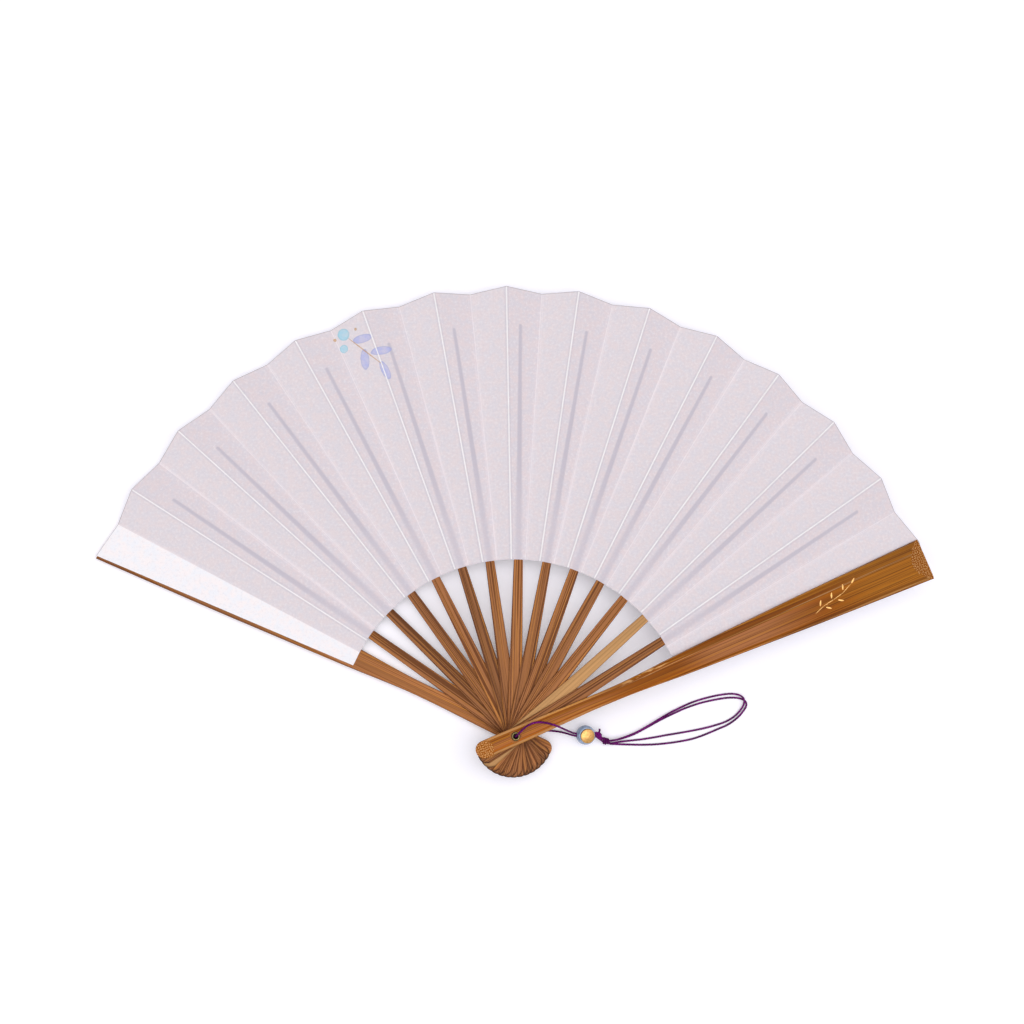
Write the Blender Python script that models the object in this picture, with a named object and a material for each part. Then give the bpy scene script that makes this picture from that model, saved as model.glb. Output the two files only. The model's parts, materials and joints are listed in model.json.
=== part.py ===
"""Folding fan: fifteen bamboo sticks on one eyelet, a pleated paper leaf, and a cord with a bead.

Metres, +Z up. The open fan lies on z = 0 with the eyelet's axis upright and its leaf towards +Y.
Stick 0 is the back guard, sticks 1 to 13 are the ribs and stick 14 is the front guard, each a little
higher than the one before. Every stick turns about the eyelet's axis, and closing turns each one
towards the back guard by one stick step from its neighbour. The leaf is one pleated sheet: each rib
carries a pocket panel on its tail, a fold panel joins it to the next rib, and the two end panels lie
on the guards. A stick's own frame has +X along the stick, +Y to its left and its origin on the axis.
"""
import math

import bpy
import bmesh
from mathutils import Matrix, Vector

# Sticks and spread
RIB_COUNT = 13
STICK_STEP = math.radians(9.4)
BACK_AZIMUTH = math.radians(154.6)
STICK_GAP = 0.0002
HANDLE_REACH = 0.018

# Guards: reach is measured from the eyelet's axis, width across the stick
GUARD_LENGTH = 0.1932
GUARD_HANDLE_WIDTH = 0.0075
GUARD_NECK_WIDTH = 0.0067
GUARD_SHOULDER_WIDTH = 0.0089
GUARD_BLADE_WIDTH = 0.0147
GUARD_TIP_WIDTH = 0.0183
GUARD_NECK_REACH = 0.030
GUARD_WAIST_REACH = 0.054
GUARD_SHOULDER_REACH = 0.076
GUARD_BLADE_REACH = 0.138
GUARD_THICKNESS = 0.0035
GUARD_HANDLE_THICKNESS = 0.0014
GUARD_SHAVE_START = 0.031
GUARD_SHAVE_END = 0.046
GUARD_EDGE = 0.0008
GUARD_RELIEF = 0.0018

# Ribs
RIB_THICKNESS = 0.00075
RIB_HANDLE_WIDTH = 0.0074
RIB_NECK_WIDTH = 0.0052
RIB_NECK_REACH = 0.036
RIB_SHOULDER_WIDTH = 0.0040
RIB_SHOULDER_LENGTH = 0.0007
RIB_SHOULDER_THICKNESS = 0.0006
RIB_TWIST_LENGTH = 0.011
TWIST_SHARES = (1 / 3, 2 / 3, 1)
RIB_TAIL_WIDTH = 0.0025
RIB_TAIL_THICKNESS = 0.00035
RIB_TIP_WIDTH = 0.0012
RIB_TIP_MARGIN = 0.0142

# Leaf
LEAF_INNER_RADIUS = 0.075
MOUNTAIN_RADIUS = 0.1944
VALLEY_RADIUS = 0.1922
PLEAT_HEIGHT = 0.0015
PAPER_THICKNESS = 0.00025
FOLD_GAP = 0.0002
PASTE_GAP = 0.00015
POCKET_WALL = 0.00012
POCKET_CLEARANCE = 0.00008
POCKET_SIDE_WALL = 0.0003
SHOULDER_GAP = 0.0003

# Eyelet
BARREL_RADIUS = 0.00135
BARREL_BORE_RADIUS = 0.0010
FLANGE_RADIUS = 0.0019
FLANGE_THICKNESS = 0.00045
FLANGE_EDGE = 0.00015
COLLAR_WALL = 0.00015
COLLAR_LENGTH = 0.0012
EYELET_CLEARANCE = 0.00008
PIVOT_CLEARANCE = 0.0001
SEAT_GAP = 0.00015

# Cord, bead and knot
CORD_DIAMETER = 0.0009
BEAD_RADIUS = 0.0042
BEAD_BORE_RADIUS = 0.0012
BEAD_FACE_RADIUS = 0.00315
BEAD_FACE_CROWN = 0.0007
BEAD_FACE_RIM = 0.0005
BEAD_FACE_CLEARANCE = 0.0002
BEAD_FACE_TILT = math.radians(12)
BEAD_FACE_HEADING = math.radians(-25)
KNOT_TURN_RADIUS = 0.0021
KNOT_END_LENGTH = 0.0020

# Fineness and overruns
ROUND_SIDES = 24
BEAD_SIDES = 28
END_STEPS = 6
BALL_SUBDIVISIONS = 3
CORD_END_SIDES = 8
SHARP_ANGLE = math.radians(35)
CUT_OVERRUN = 0.001
MERGE_DISTANCE = 0.000001
PANEL_STATIONS = 5
SIDE_RESOLUTION = 2
STRAND_POINT_SPACING = 0.0022
LOOP_POINT_SPACING = 0.0042
CURVE_SUBSTEPS = 12

MM = 0.001

# Routes of the cord, in millimetres from the eyelet's axis and up from the table
FRONT_STRAND_ROUTE = (
    (0.0, 0.0, 9.95), (0.0, 0.0, 13.0), (0.0, 0.0, 16.0), (0.0, 0.0, 18.0), (0.45, 0.55, 19.45),
    (1.6, 1.9, 20.3), (3.4, 3.6, 20.2), (5.6, 5.05, 19.6), (7.8, 5.75, 18.95), (9.9, 5.9, 18.4),
    (12.2, 5.7, 18.15), (14.5, 5.2, 18.1), (16.6, 4.55, 18.15), (18.5, 3.8, 18.1),
    (20.2, 3.05, 17.2), (21.3, 2.5, 15.4), (22.1, 2.1, 13.0), (22.8, 1.7, 10.4), (23.6, 1.3, 7.9),
    (24.7, 0.85, 5.8), (26.3, 0.25, 4.55), (28.6, 0.0, 4.2), (31.2, 0.0, 4.2), (33.6, 0.0, 4.2),
    (35.15, 0.0, 4.2),
)
BACK_STRAND_ROUTE = (
    (0.0, 0.0, 9.65), (0.0, 0.0, 6.5), (0.0, 0.0, 4.0), (0.0, 0.0, 2.75), (0.15, 0.03, 1.86),
    (0.62, 0.11, 1.14), (1.33, 0.24, 0.66), (2.2, 0.38, 0.5), (4.2, 0.62, 0.5), (8.0, 0.95, 0.5),
    (12.0, 1.15, 0.52), (16.0, 1.1, 0.75), (19.8, 0.75, 1.35), (23.0, 0.1, 2.4), (25.7, -0.65, 3.5),
    (28.2, -1.0, 4.12), (31.2, -1.0, 4.2), (33.6, -1.0, 4.2), (35.15, -1.0, 4.2),
)
OUTER_LOOP_ROUTE = (
    (42.55, -3.15, 1.75), (45.5, -2.75, 1.3), (49.0, -1.9, 0.55), (53.0, -0.45, 0.5),
    (58.5, 2.35, 0.5), (63.0, 4.8, 0.5), (67.3, 6.95, 0.5), (71.6, 8.95, 0.5), (75.9, 10.8, 0.5),
    (81.3, 12.6, 0.5), (86.1, 13.8, 0.5), (91.5, 14.8, 0.5), (95.2, 15.2, 0.5), (98.5, 15.1, 0.5),
    (100.9, 14.5, 0.5), (102.3, 13.5, 0.5), (102.7, 12.2, 0.5), (102.2, 10.7, 0.5),
    (100.9, 8.9, 0.5), (99.2, 7.0, 0.5), (96.7, 4.95, 0.5), (93.6, 3.1, 0.5), (90.2, 1.7, 0.5),
    (85.9, -0.1, 0.5), (82.2, -1.5, 0.5), (77.9, -2.8, 0.5), (72.5, -3.8, 0.5), (67.2, -4.5, 0.5),
    (61.9, -4.95, 0.5), (56.6, -5.1, 0.5), (51.3, -5.0, 0.5), (47.0, -4.85, 0.6), (42.35, -4.6, 1.0),
)
INNER_LOOP_ROUTE = (
    (42.35, -3.1, 3.1), (45.5, -2.55, 2.8), (49.0, -1.5, 2.0), (53.2, 0.1, 1.68), (57.7, 2.45, 1.65),
    (62.0, 4.95, 1.55), (67.3, 8.0, 1.2), (72.7, 10.65, 0.8), (78.1, 13.0, 0.5), (83.4, 14.7, 0.5),
    (88.8, 16.0, 0.5), (93.6, 16.75, 0.5), (96.9, 16.85, 0.75), (99.3, 16.4, 1.25),
    (100.9, 15.35, 1.62), (101.5, 13.8, 1.62), (101.05, 11.7, 1.3), (99.8, 9.65, 0.9),
    (98.0, 7.65, 0.6), (95.4, 5.8, 0.5), (92.2, 4.3, 0.5), (87.6, 2.9, 0.5), (83.3, 1.85, 0.5),
    (77.9, 0.8, 0.5), (72.6, -0.1, 0.5), (67.2, -0.95, 0.5), (61.9, -1.9, 0.5), (56.6, -2.7, 0.5),
    (52.0, -3.2, 0.5), (48.2, -3.55, 0.85), (45.2, -3.9, 1.5), (42.55, -4.35, 2.25),
)
BEAD_CENTRE = (31.2, -0.5)
KNOT_TURNS = ((37.35, -0.85, 3.4), (40.2, -3.3, 2.15))
KNOT_END_START = (37.5, 0.25, 3.4)

# Finishes: colour, roughness, metallic
GUARD_FINISH = ((0.44, 0.19, 0.06), 0.35, 0)
RIB_FINISH = ((0.40, 0.15, 0.055), 0.45, 0)
PALE_RIB_FINISH = ((0.56, 0.33, 0.16), 0.45, 0)
PALE_RIB = 12
LEAF_FINISH = ((0.66, 0.62, 0.67), 0.85, 0)
END_PANEL_FINISH = ((0.82, 0.82, 0.85), 0.9, 0)
EYELET_FINISH = ((0.20, 0.15, 0.07), 0.35, 1)
CORD_FINISH = ((0.06, 0.015, 0.06), 0.7, 0)
BEAD_FINISH = ((0.24, 0.32, 0.42), 0.25, 0)
GOLD_FINISH = ((0.72, 0.50, 0.17), 0.3, 1)

# Places worked out from the sizes above
FRONT = RIB_COUNT + 1
HALF_PANEL = STICK_STEP / 4
PITCH = RIB_THICKNESS + STICK_GAP
BACK_INNER_FACE = GUARD_THICKNESS
FRONT_INNER_FACE = BACK_INNER_FACE + STICK_GAP + RIB_COUNT * PITCH
BACK_HANDLE_FACE = BACK_INNER_FACE - GUARD_HANDLE_THICKNESS
FRONT_HANDLE_FACE = FRONT_INNER_FACE + GUARD_HANDLE_THICKNESS
END_PANEL_OFFSET = PASTE_GAP + PAPER_THICKNESS / 2
PLEAT_SLOPE = PLEAT_HEIGHT / MOUNTAIN_RADIUS
RELIEF_SLOPE = GUARD_RELIEF / MOUNTAIN_RADIUS
PANEL_LEAN = math.atan2(PLEAT_SLOPE, math.sin(HALF_PANEL))
RIB_TIP_REACH = VALLEY_RADIUS - RIB_TIP_MARGIN
PIVOT_HOLE_RADIUS = BARREL_RADIUS + EYELET_CLEARANCE + COLLAR_WALL + PIVOT_CLEARANCE
TAIL_START = LEAF_INNER_RADIUS * math.cos(HALF_PANEL) - SHOULDER_GAP


def azimuth(stick):
    """Direction of a stick from the axis, seen from above."""
    return BACK_AZIMUTH - stick * STICK_STEP


def apex_height(stick):
    """Height at which a stick's leaf panel would meet the eyelet's axis."""
    if stick == 0:
        return BACK_INNER_FACE + END_PANEL_OFFSET
    if stick == FRONT:
        return FRONT_INNER_FACE - END_PANEL_OFFSET
    return BACK_INNER_FACE + STICK_GAP + RIB_THICKNESS / 2 + (stick - 1) * PITCH


def fold_slope(stick, side):
    """Rise per metre outwards of a stick's mountain fold (side 1) or valley fold (side -1)."""
    if stick == 0:
        return -RELIEF_SLOPE * math.cos(HALF_PANEL)
    if stick == FRONT:
        return RELIEF_SLOPE * math.cos(HALF_PANEL)
    return side * PLEAT_SLOPE


def fold_point(stick, side, radius):
    """A point of a fold line, about the eyelet's axis."""
    turn = azimuth(stick) + side * HALF_PANEL
    height = apex_height(stick) + fold_slope(stick, side) * radius
    return Vector((radius * math.cos(turn), radius * math.sin(turn), height))


def fold_reach(side):
    """How far out a mountain or a valley fold runs."""
    return MOUNTAIN_RADIUS if side > 0 else VALLEY_RADIUS


def rivet_place():
    """Where the eyelet's axis stands, so that the origin is below the middle of the fan's box."""
    left = MOUNTAIN_RADIUS * math.cos(BACK_AZIMUTH + HALF_PANEL)
    front = azimuth(FRONT)
    right = GUARD_LENGTH * math.cos(front) + GUARD_TIP_WIDTH / 2 * math.sin(front)
    return Vector((-(left + right) / 2, -(MOUNTAIN_RADIUS - HANDLE_REACH) / 2, 0))


def finish(thing, look):
    """Gives an object its own plain material."""
    colour, roughness, metallic = look
    material = bpy.data.materials.new(f"{thing.name}_finish")
    material.use_nodes = True
    shader = material.node_tree.nodes["Principled BSDF"]
    shader.inputs["Base Color"].default_value = (*colour, 1)
    shader.inputs["Roughness"].default_value = roughness
    shader.inputs["Metallic"].default_value = metallic
    thing.data.materials.append(material)


def place(name, data, parent):
    """Puts mesh or curve data in the scene under a parent empty."""
    thing = bpy.data.objects.new(name, data)
    bpy.context.scene.collection.objects.link(thing)
    thing.parent = parent
    return thing


def axis_empty(name, parent, location, turn):
    """An empty on the eyelet's axis that carries what turns there."""
    empty = place(name, None, parent)
    empty.location = location
    empty.rotation_euler = (0, 0, turn)
    return empty


def loft(name, sections):
    """A closed body through equal rings of points, capped at both ends."""
    work = bmesh.new()
    rings = [[work.verts.new(point) for point in section] for section in sections]
    for near, far in zip(rings, rings[1:]):
        for here, there in zip(range(len(near)), [*range(1, len(near)), 0]):
            work.faces.new((near[here], near[there], far[there], far[here]))
    work.faces.new(rings[0])
    work.faces.new(rings[-1])
    bmesh.ops.recalc_face_normals(work, faces=work.faces)
    return to_mesh(name, work)


def to_mesh(name, work):
    """Turns a bmesh into mesh data."""
    data = bpy.data.meshes.new(name)
    work.to_mesh(data)
    work.free()
    return data


def turned(name, profile, sides):
    """A ring turned about Z from a closed outline of (radius, height) points."""
    work = bmesh.new()
    outline = [work.verts.new((radius, 0, height)) for radius, height in profile]
    for here, there in zip(outline, [*outline[1:], outline[0]]):
        work.edges.new((here, there))
    bmesh.ops.spin(
        work, geom=work.verts[:] + work.edges[:], cent=(0, 0, 0), axis=(0, 0, 1),
        angle=math.tau, steps=sides, use_merge=True,
    )
    bmesh.ops.recalc_face_normals(work, faces=work.faces)
    return to_mesh(name, work)


def domed(name, profile, sides):
    """A solid turned about Z from an outline that starts and ends on the axis."""
    work = bmesh.new()
    outline = [work.verts.new((radius, 0, height)) for radius, height in profile]
    for here, there in zip(outline, outline[1:]):
        work.edges.new((here, there))
    bmesh.ops.spin(
        work, geom=work.verts[:] + work.edges[:], cent=(0, 0, 0), axis=(0, 0, 1),
        angle=math.tau, steps=sides,
    )
    bmesh.ops.remove_doubles(work, verts=work.verts, dist=MERGE_DISTANCE)
    bmesh.ops.recalc_face_normals(work, faces=work.faces)
    return to_mesh(name, work)


def rod(name, radius, start, length, sides, turn=None):
    """A straight rod from a start point, along Z unless it is turned."""
    work = bmesh.new()
    lay = Matrix.Translation((0, 0, length / 2))
    bmesh.ops.create_cone(
        work, cap_ends=True, segments=sides, radius1=radius, radius2=radius, depth=length,
        matrix=Matrix.Translation(start) @ (turn or Matrix()) @ lay,
    )
    return to_mesh(name, work)


def ball(name, radius, centre):
    """A plain ball."""
    work = bmesh.new()
    bmesh.ops.create_icosphere(
        work, subdivisions=BALL_SUBDIVISIONS, radius=radius, matrix=Matrix.Translation(centre),
    )
    return to_mesh(name, work)


def round_shading(thing):
    """Shades the round faces smooth and keeps the edges sharp."""
    thing.data.shade_smooth()
    thing.data.set_sharp_from_angle(angle=SHARP_ANGLE)


def cutter(name, data, parent):
    """A shape that only cuts or joins others."""
    tool = place(name, data, parent)
    tool.hide_render = True
    tool.display_type = "WIRE"
    return tool


def combine(thing, tool, operation):
    """Cuts a thing by a tool, or joins the two."""
    step = thing.modifiers.new(f"{operation.lower()}_{tool.name}", "BOOLEAN")
    step.operation = operation
    step.object = tool


def width_along(profile, reach):
    """Width at a reach, from a list of (reach, width) pairs."""
    for (near, near_width), (far, far_width) in zip(profile, profile[1:]):
        if reach <= far:
            return near_width + (far_width - near_width) * (reach - near) / (far - near)
    return profile[-1][1]


def round_end_stations(width):
    """Reaches and widths that close a handle with a half circle."""
    stations = []
    for step in range(1, END_STEPS + 1):
        angle = math.pi / 2 * (1 - (step - 0.5) / END_STEPS)
        reach = -HANDLE_REACH + width / 2 * (1 - math.sin(angle))
        stations.append((reach, width * math.cos(angle)))
    return stations


def flat_section(reach, width, low, high, lean=0.0):
    """A rectangle across a stick, turned about the stick's centre line."""
    turn = Matrix.Rotation(lean, 3, "X")
    corners = ((-width / 2, low), (width / 2, low), (width / 2, high), (-width / 2, high))
    return [turn @ Vector((reach, across, height)) for across, height in corners]


def guard_outer_height(reach):
    """Height of a guard's outer face over its inner face's level at the handle."""
    share = (reach - GUARD_SHAVE_START) / (GUARD_SHAVE_END - GUARD_SHAVE_START)
    share = min(max(share, 0), 1)
    return GUARD_HANDLE_THICKNESS + share * (GUARD_THICKNESS - GUARD_HANDLE_THICKNESS)


def guard_section(reach, width, outward):
    """Cross-section of a guard, with both long edges of its outer face bevelled."""
    inner = RELIEF_SLOPE * max(reach, 0)
    outer = guard_outer_height(reach)
    edge = min(GUARD_EDGE, width / 4, (outer - inner) / 2)
    half = width / 2
    outline = (
        (-half, inner), (half, inner), (half, outer - edge),
        (half - edge, outer), (edge - half, outer), (-half, outer - edge),
    )
    return [(reach, across, outward * height) for across, height in outline]


def guard_mesh(name, outward):
    """A guard: round handle, shaved neck and a blade that widens to its square tip."""
    profile = (
        (0, GUARD_HANDLE_WIDTH),
        (GUARD_NECK_REACH, GUARD_NECK_WIDTH),
        (GUARD_WAIST_REACH, GUARD_NECK_WIDTH),
        (GUARD_SHOULDER_REACH, GUARD_SHOULDER_WIDTH),
        (GUARD_BLADE_REACH, GUARD_BLADE_WIDTH),
        (GUARD_LENGTH, GUARD_TIP_WIDTH),
    )
    reaches = sorted({reach for reach, _ in profile} | {GUARD_SHAVE_START, GUARD_SHAVE_END})
    stations = round_end_stations(GUARD_HANDLE_WIDTH)
    stations += [(reach, width_along(profile, reach)) for reach in reaches]
    return loft(name, [guard_section(reach, width, outward) for reach, width in stations])


def tail_stations(start, end, start_width, end_width, thickness):
    """The two ends of a straight tail that lies in its leaning panel."""
    return [
        flat_section(start, start_width, -thickness / 2, thickness / 2, PANEL_LEAN),
        flat_section(end, end_width, -thickness / 2, thickness / 2, PANEL_LEAN),
    ]


def tail_mesh(name, start, margin, wall):
    """A rib's tail grown by a margin on its sides and end and by a wall on its faces."""
    return loft(name, tail_stations(
        start, RIB_TIP_REACH + margin, RIB_TAIL_WIDTH + 2 * margin, RIB_TIP_WIDTH + 2 * margin,
        RIB_TAIL_THICKNESS + 2 * wall,
    ))


def rib_mesh():
    """A rib: round handle, narrow blade, and a thin tail twisted into the leaf's lean."""
    shoulder = TAIL_START - RIB_SHOULDER_LENGTH
    profile = (
        (0, RIB_HANDLE_WIDTH), (RIB_NECK_REACH, RIB_NECK_WIDTH), (shoulder, RIB_SHOULDER_WIDTH),
    )
    sections = [
        flat_section(reach, width, -RIB_THICKNESS / 2, RIB_THICKNESS / 2)
        for reach, width in round_end_stations(RIB_HANDLE_WIDTH)
    ]
    twist_start = shoulder - RIB_TWIST_LENGTH
    for reach in (0, RIB_NECK_REACH, twist_start):
        sections.append(flat_section(
            reach, width_along(profile, reach), -RIB_THICKNESS / 2, RIB_THICKNESS / 2,
        ))
    for share in TWIST_SHARES:
        reach = twist_start + share * RIB_TWIST_LENGTH
        half = (RIB_THICKNESS + share * (RIB_SHOULDER_THICKNESS - RIB_THICKNESS)) / 2
        lean = share * PANEL_LEAN
        sections.append(flat_section(reach, width_along(profile, reach), -half, half, lean))
    sections += tail_stations(
        TAIL_START, RIB_TIP_REACH, RIB_TAIL_WIDTH, RIB_TIP_WIDTH, RIB_TAIL_THICKNESS,
    )
    return loft("rib", sections)


def panel_mesh(name, start, end):
    """A sheet between two fold lines, each given as (stick, side), in the first stick's own frame."""
    to_stick = Matrix.Rotation(-azimuth(start[0]), 3, "Z")
    drop = Vector((0, 0, apex_height(start[0])))
    sections = []
    for station in range(PANEL_STATIONS):
        share = station / (PANEL_STATIONS - 1)
        ends = []
        for stick, side in (start, end):
            radius = LEAF_INNER_RADIUS + share * (fold_reach(side) - LEAF_INNER_RADIUS)
            ends.append(to_stick @ (fold_point(stick, side, radius) - drop))
        across = (ends[1] - ends[0]).normalized()
        outward = Vector((1, 0, 0))
        face = outward.cross(across).normalized() * PAPER_THICKNESS / 2
        near = ends[0] + across * FOLD_GAP
        far = ends[1] - across * FOLD_GAP
        sections.append([near - face, far - face, far + face, near + face])
    return loft(name, sections)


def through_points(route, spacing):
    """Even points along a smooth curve through a cord's route."""
    knots = [Vector(point) * MM for point in route]
    padded = [2 * knots[0] - knots[1], *knots, 2 * knots[-1] - knots[-2]]
    fine = []
    for before, start, end, after in zip(padded, padded[1:], padded[2:], padded[3:]):
        for step in range(CURVE_SUBSTEPS):
            t = step / CURVE_SUBSTEPS
            fine.append((
                2 * start + (end - before) * t
                + (2 * before - 5 * start + 4 * end - after) * t * t
                + (3 * start - before - 3 * end + after) * t * t * t
            ) / 2)
    fine.append(knots[-1])
    reached = [0.0]
    for here, there in zip(fine, fine[1:]):
        reached.append(reached[-1] + (there - here).length)
    count = max(round(reached[-1] / spacing), 2)
    even = []
    index = 0
    for step in range(count + 1):
        target = reached[-1] * step / count
        while index < len(fine) - 2 and reached[index + 1] < target:
            index += 1
        share = (target - reached[index]) / (reached[index + 1] - reached[index])
        even.append(fine[index].lerp(fine[index + 1], share))
    return even


def cord(name, route, spacing, parent):
    """A round cord along its route, with closed ends."""
    points = through_points(route, spacing)
    curve = bpy.data.curves.new(name, "CURVE")
    curve.dimensions = "3D"
    curve.bevel_depth = CORD_DIAMETER / 2
    curve.bevel_resolution = SIDE_RESOLUTION
    curve.use_fill_caps = True
    spline = curve.splines.new("POLY")
    spline.points.add(len(points) - 1)
    for spot, point in zip(spline.points, points):
        spot.co = (*point, 1)
    thing = place(name, curve, parent)
    finish(thing, CORD_FINISH)


def make_guards(pivot_hole, axes):
    """Both guards, the front one with its outer face up and the back one with it down."""
    for stick, name, outward in ((0, "back_guard", -1), (FRONT, "front_guard", 1)):
        guard = place(name, guard_mesh(name, outward), axes[stick])
        guard.location.z = BACK_INNER_FACE if stick == 0 else FRONT_INNER_FACE
        guard.location.z -= axes[stick].location.z
        finish(guard, GUARD_FINISH)
        combine(guard, pivot_hole, "DIFFERENCE")


def make_ribs(pivot_hole, axes):
    """Thirteen ribs of one shape."""
    shape = rib_mesh()
    for stick in range(1, FRONT):
        rib = place(f"rib_{stick:02d}", shape.copy(), axes[stick])
        finish(rib, PALE_RIB_FINISH if stick == PALE_RIB else RIB_FINISH)
        combine(rib, pivot_hole, "DIFFERENCE")


def make_pockets(axes):
    """The panels pasted over the rib tails, each with the raised pocket that the tail fills."""
    panel = panel_mesh("pocket_panel", (1, 1), (1, -1))
    clear = POCKET_CLEARANCE
    ridge = tail_mesh(
        "pocket_ridge", TAIL_START + 2 * SHOULDER_GAP, clear + POCKET_SIDE_WALL, clear + POCKET_WALL,
    )
    hollow = tail_mesh("pocket_hollow", TAIL_START - CUT_OVERRUN, clear, clear)
    for stick in range(1, FRONT):
        pocket = place(f"leaf_pocket_{stick:02d}", panel.copy(), axes[stick])
        finish(pocket, LEAF_FINISH)
        raised = cutter(f"ridge_tool_{stick:02d}", ridge, axes[stick])
        opening = cutter(f"hollow_tool_{stick:02d}", hollow, axes[stick])
        combine(pocket, raised, "UNION")
        combine(pocket, opening, "DIFFERENCE")


def make_folds(axes):
    """The panels that rise from one stick's valley fold to the next stick's mountain fold."""
    for stick in range(1, FRONT + 1):
        name = f"leaf_fold_{stick:02d}"
        fold = place(name, panel_mesh(name, (stick - 1, -1), (stick, 1)), axes[stick - 1])
        finish(fold, LEAF_FINISH)


def make_end_panels(axes):
    """The leaf's two end panels, pasted flat on the guards' inner faces."""
    for stick, name in ((0, "leaf_end_back"), (FRONT, "leaf_end_front")):
        panel = place(name, panel_mesh(name, (stick, 1), (stick, -1)), axes[stick])
        finish(panel, END_PANEL_FINISH)


def make_eyelet(rivet):
    """The eyelet: a front flange with its barrel, and a back flange with a collar round the barrel."""
    top = FRONT_HANDLE_FACE + SEAT_GAP
    bottom = BACK_HANDLE_FACE - SEAT_GAP
    front_profile = (
        (BARREL_BORE_RADIUS, bottom + SEAT_GAP), (BARREL_RADIUS, bottom + SEAT_GAP),
        (BARREL_RADIUS, top), (FLANGE_RADIUS, top), (FLANGE_RADIUS, top + FLANGE_EDGE),
        (FLANGE_RADIUS - FLANGE_EDGE, top + FLANGE_THICKNESS),
        (BARREL_RADIUS, top + FLANGE_THICKNESS), (BARREL_BORE_RADIUS, top + FLANGE_EDGE),
    )
    collar_inner = BARREL_RADIUS + EYELET_CLEARANCE
    collar_outer = collar_inner + COLLAR_WALL
    back_profile = (
        (BARREL_BORE_RADIUS, bottom - FLANGE_EDGE), (BARREL_RADIUS, bottom - FLANGE_THICKNESS),
        (FLANGE_RADIUS - FLANGE_EDGE, bottom - FLANGE_THICKNESS), (FLANGE_RADIUS, bottom - FLANGE_EDGE),
        (FLANGE_RADIUS, bottom), (collar_outer, bottom), (collar_outer, bottom + COLLAR_LENGTH),
        (collar_inner, bottom + COLLAR_LENGTH), (collar_inner, bottom), (BARREL_BORE_RADIUS, bottom),
    )
    for name, profile in (("eyelet_barrel", front_profile), ("eyelet_collar", back_profile)):
        part = place(name, turned(name, profile, ROUND_SIDES), rivet)
        round_shading(part)
        finish(part, EYELET_FINISH)


def ball_profile():
    """Half outline of the bead from one mouth of its bore to the other."""
    low = math.asin(BEAD_BORE_RADIUS / BEAD_RADIUS)
    points = []
    for step in range(BEAD_SIDES // 2 + 1):
        angle = low + (math.pi - 2 * low) * step / (BEAD_SIDES // 2)
        points.append((BEAD_RADIUS * math.sin(angle), -BEAD_RADIUS * math.cos(angle)))
    return points


def make_bead(rivet):
    """The bead with its bore along X, and the domed gold face let into its upper side."""
    centre = axis_empty("bead_centre", rivet, (BEAD_CENTRE[0] * MM, BEAD_CENTRE[1] * MM, BEAD_RADIUS), 0)
    bead = place("bead", turned("bead", ball_profile(), BEAD_SIDES), centre)
    bead.rotation_euler = (0, math.pi / 2, 0)
    round_shading(bead)
    finish(bead, BEAD_FINISH)
    socket_radius = BEAD_FACE_RADIUS + BEAD_FACE_CLEARANCE
    seat = math.sqrt(BEAD_RADIUS ** 2 - socket_radius ** 2) - BEAD_FACE_RIM / 2
    tilt = (0, BEAD_FACE_TILT, BEAD_FACE_HEADING)
    socket_shape = rod("bead_socket_tool", socket_radius, (0, 0, seat), BEAD_RADIUS, BEAD_SIDES)
    socket = cutter("bead_socket_tool", socket_shape, centre)
    socket.rotation_euler = tilt
    combine(bead, socket, "DIFFERENCE")
    base = seat + SEAT_GAP
    profile = [(0, base), (BEAD_FACE_RADIUS, base)]
    for step in range(END_STEPS):
        angle = math.pi / 2 * step / END_STEPS
        height = base + BEAD_FACE_RIM + BEAD_FACE_CROWN * math.sin(angle)
        profile.append((BEAD_FACE_RADIUS * math.cos(angle), height))
    profile.append((0, base + BEAD_FACE_RIM + BEAD_FACE_CROWN))
    face = place("bead_face", domed("bead_face", profile, BEAD_SIDES), centre)
    face.rotation_euler = tilt
    round_shading(face)
    finish(face, GOLD_FINISH)


def make_knot(rivet):
    """The knot behind the bead: two round turns and one short cut end."""
    shapes = [
        ball(f"knot_turn_{number}", KNOT_TURN_RADIUS, Vector(turn) * MM)
        for number, turn in enumerate(KNOT_TURNS)
    ]
    cut_end = rod(
        "knot_end", CORD_DIAMETER / 2, Vector(KNOT_END_START) * MM, KNOT_END_LENGTH,
        CORD_END_SIDES, Matrix.Rotation(-math.pi / 2, 4, "X"),
    )
    knot = place("knot", shapes[0], rivet)
    combine(knot, cutter("knot_turn_tool", shapes[1], rivet), "UNION")
    combine(knot, cutter("knot_end_tool", cut_end, rivet), "UNION")
    finish(knot, CORD_FINISH)


def make_pivot_cutter(rivet):
    """The hole that all fifteen sticks share."""
    low = BACK_HANDLE_FACE - CUT_OVERRUN
    length = FRONT_HANDLE_FACE + CUT_OVERRUN - low
    hole = rod("pivot_hole_tool", PIVOT_HOLE_RADIUS, (0, 0, low), length, ROUND_SIDES)
    return cutter("pivot_hole_tool", hole, rivet)


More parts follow.
